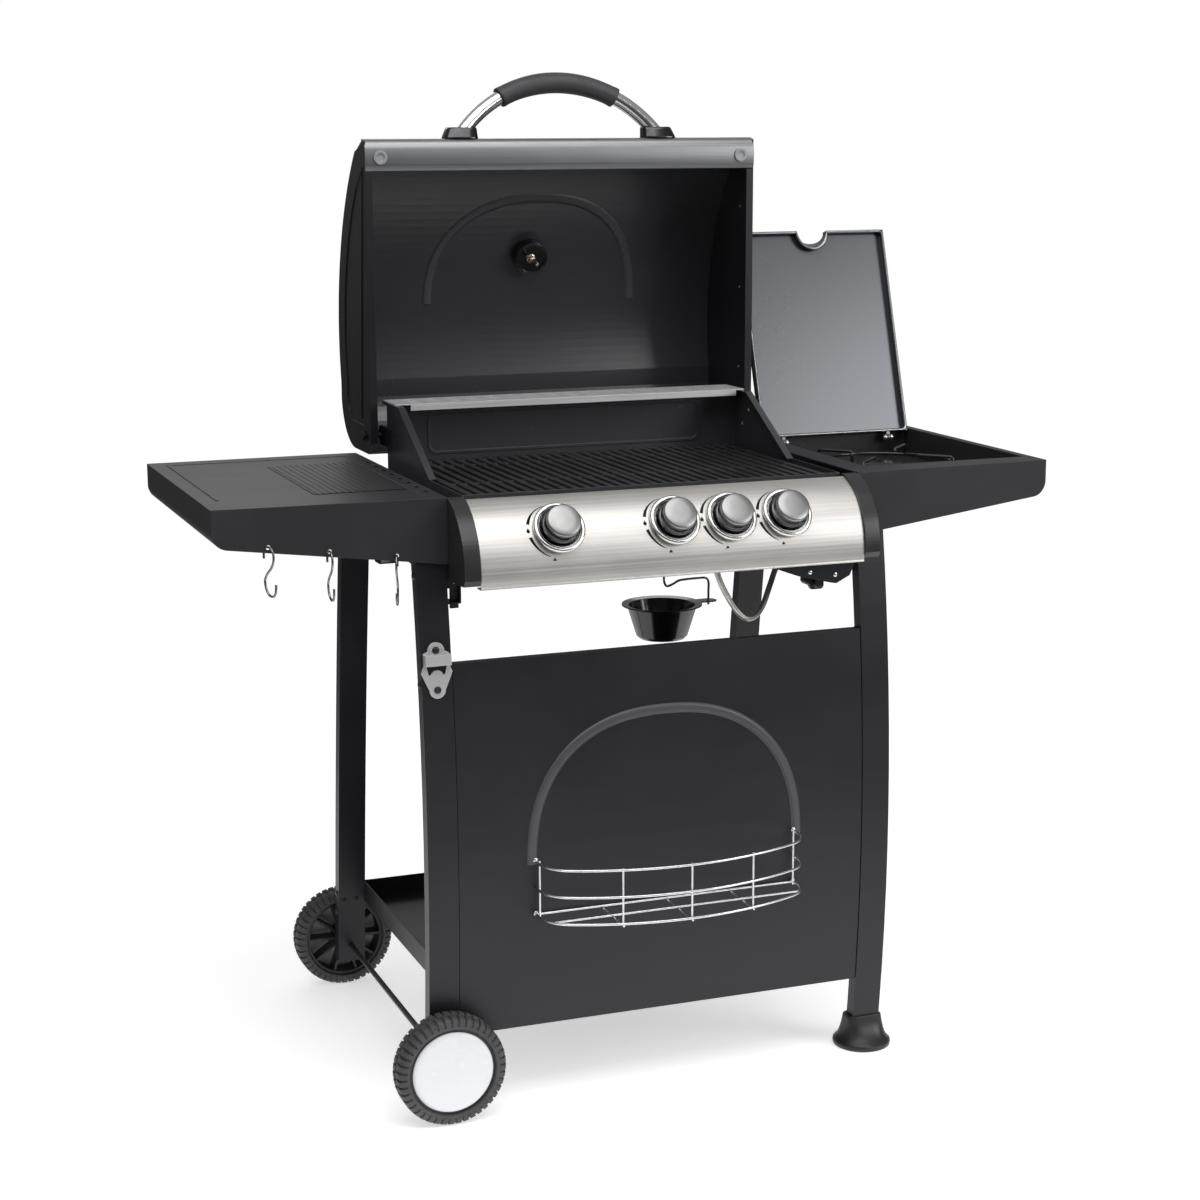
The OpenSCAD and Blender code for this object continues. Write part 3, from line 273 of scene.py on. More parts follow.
def mix_finishes():
    finish("black_enamel", "powder_coat", (0.01, 0.0102, 0.013), (0.013, 0.0133, 0.0165), (0.36, 0.44),
           bare=(0.05, 0.05, 0.053), wear=0.5, Specular_IOR_Level=0.4)
    finish("inner_enamel", "powder_coat", (0.031, 0.0315, 0.037), (0.0335, 0.034, 0.0398),
           (0.265, 0.275), grain={"Cloud Scale": 4.0}, bump=0.02, wear=0.0,
           Specular_IOR_Level=0.8)
    finish("shelf_enamel", "powder_coat", (0.0225, 0.0228, 0.025), (0.0265, 0.027, 0.0295),
           (0.38, 0.46), bare=(0.07, 0.07, 0.074), wear=0.6, Specular_IOR_Level=0.42)
    # Painted highlight: a lighter copy of the black enamel for the pressed arches, for the light they catch.
    finish("ridge_painted_highlight", "powder_coat", (0.06, 0.061, 0.066), (0.07, 0.071, 0.077), (0.36, 0.44),
           wear=0.0)
    finish("grate_enamel", "powder_coat", (0.018, 0.018, 0.0185), (0.03, 0.03, 0.031), (0.24, 0.36),
           grain={"Peel Scale": 500.0}, bare=0.1, wear=0.6, edge_width=0.002)
    # Its edges turn a paler grey in patches, which gives the rolled rims a light line.
    finish("gloss_enamel", "powder_coat", (0.006, 0.006, 0.0065), (0.009, 0.009, 0.0095), (0.14, 0.26),
           grain={"Peel Scale": 260.0}, bare=(0.06, 0.06, 0.062), wear=0.35, edge_width=0.0016,
           Coat_Weight=0.3, Coat_Roughness=0.08)
    # Painted reflection: the side lid gets a light grey, partly metallic enamel for the bright softbox
    # reflected in it.
    finish("painted_reflection_enamel", "powder_coat", (0.104, 0.108, 0.117), (0.108, 0.1125, 0.1215),
           (0.26, 0.28), grain={"Cloud Scale": 3.0}, bump=0.02, metallic=0.6, wear=0.0,
           edge_width=0.0016)
    # Painted highlight: a light metallic grey for the side lid's black rim, for the light along its edge.
    finish("rim_painted_highlight", "plated_metal", (0.3, 0.305, 0.315), (0.22, 0.224, 0.232), (0.2, 0.3),
           metallic=0.9, bump=0.04)
    finish("brushed_steel", "brushed_lines", (0.74, 0.722, 0.692), (0.56, 0.544, 0.518), (0.38, 0.5),
           grain={"Stretch": (1.2, 520.0, 520.0)}, metallic=1.0, bump=0.03)
    finish("satin_steel", "brushed_lines", (0.78, 0.78, 0.775), 0.6, (0.3, 0.42),
           grain={"Stretch": (3.0, 500.0, 500.0)}, metallic=0.5, bump=0.05)
    finish("knob_satin", "plated_metal", (0.31, 0.31, 0.308), (0.26, 0.26, 0.258), (0.3, 0.36),
           grain={"Haze Scale": 30.0}, metallic=1.0, bump=0.02)
    finish("satin_chrome", "plated_metal", (0.74, 0.74, 0.73), (0.62, 0.62, 0.61), (0.13, 0.24),
           metallic=1.0, bump=0.03)
    finish("smoked_chrome", "plated_metal", (0.22, 0.22, 0.225), (0.15, 0.15, 0.155), (0.12, 0.2),
           metallic=1.0, bump=0.03)
    finish("pod_chrome", "plated_metal", (0.075, 0.075, 0.077), (0.05, 0.05, 0.052), (0.12, 0.2),
           metallic=1.0, bump=0.03)
    finish("pale_brass", "plated_metal", (0.78, 0.7, 0.55), (0.6, 0.53, 0.4), (0.16, 0.3),
           metallic=1.0, bump=0.04)
    finish("opener_steel", "plated_metal", (0.72, 0.72, 0.73), (0.58, 0.58, 0.59), (0.28, 0.4),
           metallic=0.55, bump=0.04)
    finish("bright_wire", "plated_metal", (0.8, 0.8, 0.81), (0.6, 0.6, 0.62), (0.14, 0.3),
           grain={"Haze Scale": 200.0}, metallic=1.0, bump=0.04)
    finish("hook_wire", "plated_metal", 0.3, (0.16, 0.16, 0.165), (0.2, 0.38),
           grain={"Haze Scale": 150.0}, metallic=1.0, bump=0.04)
    finish("plain_steel", "plated_metal", (0.52, 0.51, 0.48), (0.36, 0.35, 0.33), (0.25, 0.42),
           grain={"Haze Scale": 90.0}, metallic=1.0, bump=0.06)
    finish("burner_steel", "plated_metal", (0.45, 0.44, 0.42), (0.3, 0.29, 0.28), (0.32, 0.5),
           metallic=1.0, bump=0.08, heat=0.55)
    finish("dark_steel", "plated_metal", (0.06, 0.06, 0.063), (0.035, 0.035, 0.037), (0.3, 0.48),
           metallic=0.7, bump=0.06)
    finish("grey_metal", "brushed_lines", (0.3, 0.305, 0.315), (0.22, 0.224, 0.23), (0.3, 0.4),
           grain={"Stretch": (1.5, 700.0, 700.0)}, metallic=0.8, bump=0.04, bare=(0.4, 0.4, 0.41))
    finish("brass", "plated_metal", (0.62, 0.44, 0.2), (0.42, 0.29, 0.13), (0.18, 0.36), metallic=1.0,
           bump=0.05)
    finish("tyre_rubber", "moulded_grain", (0.05, 0.05, 0.052), (0.075, 0.075, 0.078), (0.5, 0.7),
           grain={"Pebble Scale": 700.0}, bump=0.25, bare=0.06)
    finish("grey_rubber", "moulded_grain", (0.3, 0.3, 0.305), (0.36, 0.36, 0.365), (0.4, 0.55),
           bump=0.15)
    finish("black_plastic", "moulded_grain", (0.011, 0.011, 0.0115), (0.017, 0.017, 0.0175),
           (0.32, 0.45), bump=0.12, bare=(0.05, 0.05, 0.052))
    finish("end_cap_plastic", "moulded_grain", (0.022, 0.0223, 0.0235), (0.028, 0.0283, 0.0298),
           (0.26, 0.34), bump=0.06, bare=(0.12, 0.12, 0.125), wear=0.7, edge_width=0.002)
    finish("grip_plastic", "moulded_grain", (0.042, 0.042, 0.0455), (0.055, 0.055, 0.059),
           (0.42, 0.56), grain={"Pebble Scale": 1100.0}, bump=0.3, bare=0.05)
    finish("white_plastic", "plated_metal", (0.82, 0.83, 0.85), (0.76, 0.77, 0.79), (0.2, 0.32),
           grain={"Haze Scale": 12.0}, bump=0.03, bare=(0.5, 0.5, 0.51), wear=0.3)
    finish("ceramic", "plated_metal", (0.78, 0.74, 0.64), (0.6, 0.56, 0.48), (0.15, 0.3), bump=0.05)
    finish("dial_face", "plated_metal", (0.8, 0.8, 0.78), (0.74, 0.74, 0.72), (0.3, 0.4), bump=0.02)
    finish("dark_print", "moulded_grain", (0.02, 0.02, 0.021), (0.04, 0.04, 0.041), (0.35, 0.5),
           bump=0.05)
    finish("red_print", "moulded_grain", (0.5, 0.03, 0.02), (0.42, 0.04, 0.03), (0.35, 0.5), bump=0.05)
    # Painted shade: near-black for the insides of holes, where shade falls.
    finish("hole_painted_shade", "powder_coat", 0.002, 0.003, (0.7, 0.8), wear=0.0)


mix_finishes()


def make_lens_glass():
    """Clear pane with a few fine marks in its gloss."""
    material = bpy.data.materials.new("lens_glass")
    material.use_nodes = True
    w = Wiring(material.node_tree)
    shader = w.tree.nodes["Principled BSDF"]
    group = place_skin(w, "plated_metal", 0.98, (0.95, 0.96, 0.96), (0.0, 0.06), {})
    w.feed(shader.inputs["Base Color"], group.outputs["Colour"])
    w.feed(shader.inputs["Roughness"], group.outputs["Roughness"])
    shader.inputs["Transmission Weight"].default_value = 1.0
    shader.inputs["IOR"].default_value = 1.45
    FINISHES["lens_glass"] = material


make_lens_glass()


def paint_frame():
    """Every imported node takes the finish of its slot, or its own where it looks different."""
    own = {"lid_shell": "inner_enamel", "firebox": "inner_enamel", "side_lid": "painted_reflection_enamel",
           "fascia_end_caps": "end_cap_plastic", "main_burners": "burner_steel",
           "flame_tamers": "burner_steel", "cooking_grates": "grate_enamel", "cart_screws": "dark_steel",
           "left_shelf": "shelf_enamel", "right_shelf": "shelf_enamel", "bottle_opener": "opener_steel",
           "gas_manifold": "black_enamel"}
    for part in frame["record"]["subparts"]:
        material = FINISHES[own.get(part["node"], part["material_slot"])]
        mesh = NODES[part["node"]].data
        if not mesh.materials:
            mesh.materials.append(material)
        for place in range(len(mesh.materials)):
            mesh.materials[place] = material


# ---- studio ----

def set_camera(place, yaw, pitch, roll, lens):
    """Camera at place, turned yaw to the right of +Y, tipped down by pitch, in degrees."""
    yaw, pitch, roll = (math.radians(a) for a in (yaw, pitch, roll))
    ahead = Vector((math.sin(yaw) * math.cos(pitch), math.cos(yaw) * math.cos(pitch), -math.sin(pitch)))
    flat_right = Vector((math.cos(yaw), -math.sin(yaw), 0))
    flat_up = flat_right.cross(ahead)
    right = flat_right * math.cos(roll) + flat_up * math.sin(roll)
    up = flat_up * math.cos(roll) - flat_right * math.sin(roll)
    camera = bpy.data.cameras.new("studio_camera")
    camera.lens = lens
    camera.sensor_width = 36
    camera.clip_end = 60
    holder = bpy.data.objects.new("studio_camera", camera)
    bpy.context.scene.collection.objects.link(holder)
    turn = Matrix((right, up, -ahead)).transposed().to_4x4()
    holder.matrix_world = Matrix.Translation(place) @ turn
    bpy.context.scene.camera = holder


def soft_box(name, place, aim, size, watts):
    """A rectangular lamp at place that faces aim, in metres."""
    lamp = bpy.data.lights.new(name, "AREA")
    lamp.shape = "RECTANGLE"
    lamp.size, lamp.size_y = size
    lamp.energy = watts
    holder = bpy.data.objects.new(name, lamp)
    bpy.context.scene.collection.objects.link(holder)
    holder.location = place
    holder.rotation_euler = (Vector(aim) - Vector(place)).to_track_quat("-Z", "Y").to_euler()


def set_studio():
    """White surroundings, brighter behind and above than in front, and four soft boxes."""
    world = bpy.data.worlds.new("white_studio")
    bpy.context.scene.world = world
    world.use_nodes = True
    world.node_tree.nodes.clear()
    w = Wiring(world.node_tree)
    where = w.add("ShaderNodeSeparateXYZ", {"Vector": w.add("ShaderNodeTexCoord").outputs["Generated"]})
    height = w.spread(where.outputs["Z"], -0.1, 1.0, 0.04, 0.46)
    depth = w.spread(where.outputs["Y"], -1.0, 1.0, 0.02, 0.13)
    room = w.add("ShaderNodeBackground", {"Strength": w.sum_of("ADD", height, depth)})
    seen = w.add("ShaderNodeBackground", {"Color": rgb(1.0), "Strength": 1.0})
    pick = w.add("ShaderNodeMixShader")
    w.feed(pick.inputs[0], w.add("ShaderNodeLightPath").outputs["Is Camera Ray"])
    w.feed(pick.inputs[1], room.outputs[0])
    w.feed(pick.inputs[2], seen.outputs[0])
    w.feed(w.add("ShaderNodeOutputWorld").inputs[0], pick.outputs[0])
    soft_box("overhead_box", (-0.3, -1.4, 3.4), (0, 0.1, 0.9), (3.4, 2.2), 66)
    soft_box("key_box", (2.6, -2.7, 1.9), (0.3, 0, 0.9), (1.7, 1.7), 50)
    soft_box("left_box", (-3.2, -2.2, 1.8), (0, 0, 0.8), (1.2, 1.8), 5)
    soft_box("rear_box", (0.4, 3.0, 2.6), (0, 0, 0.9), (2.6, 1.2), 14)


def lay_floor():
    """A pale floor under the grill that fades, far away, to dark for light and to white for the camera."""
    reach = 14
    shape = bmesh.new()
    corners = [shape.verts.new((x * reach, y * reach, 0)) for x, y in ((-1, -1), (1, -1), (1, 1), (-1, 1))]
    shape.faces.new(corners)
    mesh = bpy.data.meshes.new("studio_floor")
    shape.to_mesh(mesh)
    shape.free()
    floor = bpy.data.objects.new("studio_floor", mesh)
    bpy.context.scene.collection.objects.link(floor)
    paint = bpy.data.materials.new("pale_floor")
    paint.use_nodes = True
    w = Wiring(paint.node_tree)
    shader = w.tree.nodes["Principled BSDF"]
    shader.inputs["Roughness"].default_value = 0.9
    away = w.add("ShaderNodeVectorMath", operation="LENGTH")
    w.feed(away.inputs[0], w.here())
    seen = w.add("ShaderNodeLightPath").outputs["Is Camera Ray"]

    def fade(start, end, near, far):
        """A grey that goes from near to far between two distances from the grill."""
        return w.grey(w.spread(away.outputs["Value"], start, end, near, far))
    tone = w.blend(seen, fade(0.9, 2.6, 0.9, 0.1), fade(1.2, 4.5, 0.9, 0.0))
    glow = w.blend(seen, fade(0.8, 2.4, 0.6, 0.0), fade(1.2, 4.5, 0.55, 1.0))
    w.feed(shader.inputs["Base Color"], tone)
    w.feed(shader.inputs["Emission Color"], glow)
    shader.inputs["Emission Strength"].default_value = 1.0
    mesh.materials.append(paint)


# ---- ways to make a piece ----

def piece(name, shape, body, slot, finishes=(), stands_for=(), crease=35):
    """A smooth-shaded piece that rides on a body, in its slot's finish if no other is named."""
    bmesh.ops.recalc_face_normals(shape, faces=shape.faces)
    mesh = bpy.data.meshes.new(name)
    shape.to_mesh(mesh)
    shape.free()
    for label in finishes or [slot]:
        mesh.materials.append(FINISHES[label])
    mesh.shade_smooth()
    mesh.set_sharp_from_angle(angle=math.radians(crease))
    made = bpy.data.objects.new(name, mesh)
    bpy.context.scene.collection.objects.link(made)
    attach(made, body)
    if stands_for:
        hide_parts(*stands_for)
    return made


def around(steps):
    """Angles of steps equal parts of a turn."""
    return [2 * math.pi * k / steps for k in range(steps)]


def swelled(value, power):
    """A sine or cosine raised to a power with its sign kept, which squares a round outline."""
    return math.copysign(abs(value) ** power, value)


def spun(place, radius, angle, height):
    """A point radius mm from the Z axis of place, at an angle about it and a height along it."""
    return place @ (Vector((radius * math.cos(angle), radius * math.sin(angle), height)) * MM)


def join_rings(shape, rings, closed=False):
    """Faces between neighbouring rings of vertices; closed also joins the last to the first."""
    spans = range(len(rings) if closed else len(rings) - 1)
    for band in spans:
        low, high = rings[band], rings[(band + 1) % len(rings)]
        count = max(len(low), len(high))
        for k in range(count):
            corners = [low[k % len(low)], low[(k + 1) % len(low)],
                       high[(k + 1) % len(high)], high[k % len(high)]]
            corners = [v for i, v in enumerate(corners) if v not in corners[:i]]
            if len(corners) > 2:
                shape.faces.new(corners)


def close_ends(shape, rings):
    """A face over the first ring and one over the last."""
    for ring in (rings[0], rings[-1]):
        shape.faces.new(ring)


def turned(shape, profile, place, steps=64):
    """Turns a profile of (radius, height) points in mm about the Z axis of place."""
    rings = [[shape.verts.new(spun(place, radius, a, height)) for a in around(steps if radius else 1)]
             for radius, height in profile]
    join_rings(shape, rings)


def eased(points, steps):
    """A smooth line through points, with steps spans between neighbours."""
    line = []
    last = len(points) - 1
    for i in range(last):
        a, b, c, d = (points[max(i - 1, 0)], points[i], points[i + 1], points[min(i + 2, last)])
        for k in range(steps):
            t = k / steps
            line.append(0.5 * (2 * b + (c - a) * t + (2 * a - 5 * b + 4 * c - d) * t ** 2
                               + (3 * b - a - 3 * c + d) * t ** 3))
    return line + [points[-1]]


def drawn_wire(shape, line, radius, sides=10, closed=False):
    """A round wire along a line of points in metres; radius in mm, or one for each point."""
    count = len(line)
    radii = radius if isinstance(radius, list) else [radius] * count
    rings = []
    side = None
    for i, point in enumerate(line):
        ahead = line[(i + 1) % count] if closed or i + 1 < count else point
        behind = line[i - 1] if closed or i > 0 else point
        along = (ahead - behind).normalized()
        if side is None:
            side = along.orthogonal()
        side = (side - along * side.dot(along)).normalized()
        across = along.cross(side)
        rings.append([shape.verts.new(point + (side * math.cos(a) + across * math.sin(a)) * radii[i] * MM)
                      for a in around(sides)])
    join_rings(shape, rings, closed)
    if not closed:
        close_ends(shape, rings)


def block(shape, low, high, place, finish_index=0):
    """A box between two corners in mm, in the frame of place."""
    made = bmesh.ops.create_cube(shape, size=1)["verts"]
    low, high = Vector(low), Vector(high)
    fit = Matrix.Translation((low + high) / 2 * MM) @ Matrix.Diagonal(((high - low) * MM).to_4d())
    bmesh.ops.transform(shape, matrix=place @ fit, verts=made)
    for face in {f for v in made for f in v.link_faces}:
        face.material_index = finish_index


def rivet(shape, place, radius, proud=1.6):
    """A low domed head on the Z axis of place."""
    dome = [(radius, -0.3), (radius, 0.2), (radius * 0.86, proud * 0.6), (radius * 0.5, proud * 0.94),
            (0, proud)]
    turned(shape, dome, place, 20)


def facing(point, direction, up=(0, 0, 1)):
    """A frame at point whose +Z is direction and whose +Y leans towards up."""
    z = Vector(direction).normalized()
    x = Vector(up).cross(z).normalized()
    turn = Matrix((x, z.cross(x), z)).transposed().to_4x4()
    return Matrix.Translation(point) @ turn


# ---- control panel ----

FASCIA_Y, FASCIA_Z, FASCIA_R = -203, 737, 96
KNOB_TILT = 34
KNOB_X = [-161, 0, 81, 162]
SEAT = FASCIA_R + 0.6      # where the dished rings sit, out from the fascia's axis
KNOB_BASE = SEAT + 7.2


def on_fascia(i):
    """Frame on knob i's axis: +Z out of the panel, origin on the panel's own axis."""
    tilt = math.radians(KNOB_TILT)
    return facing(at(KNOB_X[i], FASCIA_Y, FASCIA_Z), (0, -math.cos(tilt), math.sin(tilt)))


def make_knobs():
    """Each knob's crowned cap and the flared skirt under it."""
    cap = [(22.3, 12.6), (23, 13.8), (23, 17.8), (22.7, 18.9), (21.9, 19.8), (20.6, 20.3), (12, 20.8),
           (0, 21)]
    skirt = [(0, 0.3), (23.6, 0.3), (24.6, 0.9), (24.8, 2.4), (24.0, 3.4), (22.9, 3.9), (22.5, 5.5),
             (22.2, 9.0), (22.3, 12.4), (22.3, 12.6)]
    for i in range(4):
        number = str(i + 1)
        for name, profile, metal in (("cap", cap, "knob_satin"), ("skirt", skirt, "smoked_chrome")):
            shape = bmesh.new()
            turned(shape, [(r, KNOB_BASE + h) for r, h in profile], on_fascia(i), 72)
            piece("knob_" + name + "_" + number, shape, "control_knob_" + number, "satin_chrome", [metal],
                  ["knob_" + number])


def make_dished_rings():
    """The ringed dish behind each knob."""
    profile = [(10, 1.6), (25.5, 2.2), (27.4, 3.0), (28.6, 4.6), (29.6, 6.2), (30.8, 6.9), (32.2, 7.0),
               (33.6, 6.5), (34.6, 5.4), (35, 4.0), (35, 2.4), (34.2, 1.4), (34.0, 0.2), (10, 0.2),
               (10, 1.6)]
    shape = bmesh.new()
    for i in range(4):
        turned(shape, [(r, SEAT + h) for r, h in profile], on_fascia(i), 96)
    piece("dished_rings", shape, "cart", "satin_chrome", stands_for=["knob_bezels"])


def print_on_fascia(shape, i, outline):
    """Vertices just off the panel round knob i; outline is (along, up) mm from the knob's axis."""
    radius = FASCIA_R + 0.12
    patch = []
    for along, up in outline:
        angle = math.radians(180 - KNOB_TILT) - up / FASCIA_R
        patch.append(shape.verts.new(at(KNOB_X[i] + along, FASCIA_Y + radius * math.cos(angle),
                                        FASCIA_Z + radius * math.sin(angle))))
    return patch


def make_dial_marks():
    """Swept tapering bars beside each knob, with a small flame and a pointer between them."""
    swept_bars = ((167, 132, 4.4, 1.6), (132, 106, 1.6, 0.5), (193, 246, 4.4, 0.6))
    flame = [(-43, -2.6), (-41, -3.2), (-39.2, -2.2), (-39, 0), (-40.4, 2.2), (-40.8, 4.2),
             (-42.2, 2.4), (-43.6, 0.6), (-43.8, -1.2)]
    pointer = [(-13.5, -41.5), (-7.5, -41.5), (-10.5, -37.6)]
    reach, steps = 38.8, 14
    shape = bmesh.new()
    for i in range(4):
        for start, end, thick, thin in swept_bars:
            inner, outer = [], []
            for k in range(steps + 1):
                share = k / steps
                angle = math.radians(start + (end - start) * share)
                width = thick + (thin - thick) * share
                inner.append((reach * math.cos(angle), reach * math.sin(angle)))
                outer.append(((reach + width) * math.cos(angle), (reach + width) * math.sin(angle)))
            low, high = print_on_fascia(shape, i, inner), print_on_fascia(shape, i, outer)
            for k in range(steps):
                shape.faces.new((low[k], low[k + 1], high[k + 1], high[k]))
        shape.faces.new(print_on_fascia(shape, i, flame))
        shape.faces.new(print_on_fascia(shape, i, pointer))
    printed = piece("dial_marks", shape, "cart", "black_plastic", ["dark_print"])
    skin = printed.modifiers.new("thickness", "SOLIDIFY")
    skin.thickness = 0.1 * MM
    skin.offset = 0


# ---- wheels and feet ----

WHEEL_X, AXLE_Z = -317, 75
WHEELS = {"front": (-275, -1), "rear": (283, 1)}      # middle of the tyre, and which way it faces
TYRE_SEAT = 58.9           # where the tyre meets its rim
FOOT_R = 41.5


def wheel_place(name):
    """Frame of a wheel: +Z along the axle and away from the cart."""
    middle, outward = WHEELS[name]
    return facing(at(WHEEL_X, middle, AXLE_Z), (0, outward, 0))


def make_tyres():
    """Treaded tyres: two staggered rows of lugs with grooves that run over the shoulders."""
    half = [(TYRE_SEAT, 16.5, 0), (60.5, 19.4, 0), (64.0, 19.9, 0), (66.0, 19.8, 1), (70.0, 19.0, 1),
            (73.0, 16.6, 1), (74.7, 12.6, 1), (75.0, 8.0, 1), (75.0, 3.2, 1), (73.2, 2.4, 0)]
    lug_parts = ((0.0, 0, 0), (0.05, 1, 0), (0.3, 1, 0), (0.35, 0, 0),
                 (0.5, 0, 0), (0.55, 0, 1), (0.8, 0, 1), (0.85, 0, 0))
    lugs, groove_in, groove_aside = 44, 2.2, 1.2
    for name in WHEELS:
        place = wheel_place(name)
        shape = bmesh.new()
        rings = []
        for lug in range(lugs):
            for part, groove_out, groove_back in lug_parts:
                angle = 2 * math.pi * (lug + part) / lugs
                section = [(r - groove_in * cut * groove_out, h - groove_aside * cut * groove_out)
                           for r, h, cut in half]
                section += [(r - groove_in * cut * groove_back, groove_aside * cut * groove_back - h)
                            for r, h, cut in half[::-1]]
                section.append((TYRE_SEAT, 0))
                rings.append([shape.verts.new(spun(place, r, angle, h)) for r, h in section])
        join_rings(shape, rings, closed=True)
        piece("lugged_tyre_" + name, shape, name + "_wheel", "tyre_rubber",
              stands_for=["tyre_" + name], crease=30)


def make_hub_discs():
    """Pale discs over the spokes, with a rolled edge and a shallow turned step."""
    profile = [(0, 19.9), (30, 19.9), (47, 19.8), (50.5, 19.5), (53.6, 18.4), (55.2, 16.9), (55.6, 16.2),
               (55.4, 15.6), (54, 15.6), (50, 17.2), (0, 18.6)]
    for name in WHEELS:
        shape = bmesh.new()
        turned(shape, profile, wheel_place(name), 96)
        piece("hub_disc_" + name, shape, name + "_wheel", "white_plastic",
              stands_for=["hub_cap_" + name])


def make_feet():
    """Flared feet: round at the floor, drawn in to the leg's rectangle at the top."""
    leg_x = 316.5
    lowest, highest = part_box("feet")
    middles = [lowest.y / MM + FOOT_R - CART_SHIFT, highest.y / MM - FOOT_R - CART_SHIFT]
    levels = [(0, 38.5, 0), (1.2, 40.6, 0), (4, FOOT_R, 0), (7.5, 41.2, 0), (9.5, 39.4, 0.02),
              (12, 36.4, 0.12), (17, 33.2, 0.34), (24, 30.4, 0.6), (32, 28.2, 0.82), (40, 26.6, 0.96),
              (44.5, 26.0, 1), (46, 24.8, 1)]
    shape = bmesh.new()
    for y in middles:
        rings = []
        for z, reach, square in levels:
            power = 1 - 0.62 * square
            depth = reach * (1 - 0.42 * square)
            rings.append([shape.verts.new(at(leg_x + reach * swelled(math.cos(a), power),
                                             y + depth * swelled(math.sin(a), power), z))
                          for a in around(72)])
        join_rings(shape, rings)
        close_ends(shape, rings)
    piece("flared_feet", shape, "cart", "black_plastic", stands_for=["feet"], crease=40)


# ---- wire goods ----

BURNER_X = 457             # the side burner, across the cart

def make_basket():
    """Bowed wire basket: three rails, uprights inside them and cross wires underneath."""
    bow_r, corner_r, half, front, back = 400, 45, 189, -352, -260.4
    heights = (268, 305, 342)
    rail_r, wire_r = 1.8, 1.5
    apart = 3.25                               # from a rail's middle to a wire's that lies on it
    swing = math.asin((half - corner_r) / (bow_r - corner_r))
    corner_y = front + bow_r - (bow_r - corner_r) * math.cos(swing)
    bow = [(bow_r * math.sin(a), front + bow_r - bow_r * math.cos(a))
           for a in (swing * (k / 20 - 1) for k in range(41))]
    turn = [math.pi + (math.pi / 2 - swing) * k / 10 for k in range(10)]
    left = [(-half, back)] + [(-half + corner_r + corner_r * math.cos(a), corner_y + corner_r * math.sin(a))
                              for a in turn]
    plan = left + bow + [(-x, y) for x, y in left[::-1]]
    shape = bmesh.new()
    for z in heights:
        drawn_wire(shape, [at(x, y, z) for x, y in plan], rail_r, 12)

    def upright(x, y):
        drawn_wire(shape, [at(x, y, z) for z in (heights[0] - rail_r, heights[1], heights[2] + rail_r)],
                   wire_r, 10)
    for share in (-4 / 7, 0, 4 / 7):
        a = share * swing
        upright((bow_r - apart) * math.sin(a), front + bow_r - (bow_r - apart) * math.cos(a))
    for side in (-1, 1):
        upright(side * (half - apart), back - 8)
        for z in (heights[0], heights[2]):
            rivet(shape, facing(at(side * half, back - 1.4, z + 1), (0, -1, 0)), 3.6)
    for x in (-94, 0, 94):
        y = front + bow_r - math.sqrt(bow_r ** 2 - x ** 2)
        drawn_wire(shape, [at(x, back, heights[0] - apart), at(x, y, heights[0] - apart)], wire_r, 10)
    for y, reach in ((back - 2, half - 2), (-303, half - 10)):
        drawn_wire(shape, [at(x, y, heights[0]) for x in (-reach, 0, reach)], wire_r, 10)
    piece("wire_basket", shape, "cart", "bright_wire", stands_for=["condiment_basket"])


def apron_y(x):
    """Middle of the shelf's front skirt, which runs back a little on its way in."""
    return -233 + 12 * (x - 294) / 304


def make_hooks():
    """Three bent wire hooks in the left shelf's skirt, each turned its own way."""
    route = [(9, -15), (9, -6), (5, -0.8), (0, 0.4), (-5, -0.8), (-10, -7), (-10, -17), (-5, -26),
             (3, -34), (8, -43), (6, -54), (0, -61), (-8, -62), (-13, -56), (-14, -46)]
    for name, x, z, turn in (("outer", -527, 781, 25), ("middle", -449, 771, 5), ("inner", -362, 760, -20)):
        a = math.radians(turn)
        line = [at(x - y * math.sin(a), apron_y(-x) + 0.75 + y * math.cos(a), z + h) for y, h in route]
        shape = bmesh.new()
        drawn_wire(shape, eased(line, 7), 1.5, 12)
        piece("s_hook_wire_" + name, shape, "s_hook_" + name, "bright_wire", ["hook_wire"], ["hook_" + name])


def make_drip_cup_hanger():
    """The wire that carries the grease cup under the firebox."""
    route = [(97, 708), (95, 703), (97, 697), (98, 676), (94, 660), (98, 649), (108, 651), (120, 656),
             (150, 657), (160, 656), (164, 650), (164, 636), (164, 617)]
    shape = bmesh.new()
    drawn_wire(shape, eased([at(x, -20, z) for x, z in route], 7), 1.7, 12)
    piece("drip_cup_hanger", shape, "grease_hanger", "bright_wire", ["hook_wire"], ["grease_hook"])


def make_burner_feed():
    """The bent pipe from the last valve, under the shelf, to the side burner."""
    route = [(81, -226, 742), (83, -226, 720), (92, -228, 690), (112, -228, 656), (130, -226, 640),
             (148, -218, 640), (166, -204, 652), (186, -184, 676), (204, -166, 696), (232, -140, 704),
             (272, -110, 704), (330, -76, 704), (390, -40, 706), (436, -12, 716), (454, -2, 728),
             (BURNER_X, 0, 751.6)]
    shape = bmesh.new()
    drawn_wire(shape, eased([at(*p) for p in route], 7), 4.0, 16)
    piece("side_burner_feed", shape, "cart", "plain_steel", stands_for=["side_burner_pipe"])


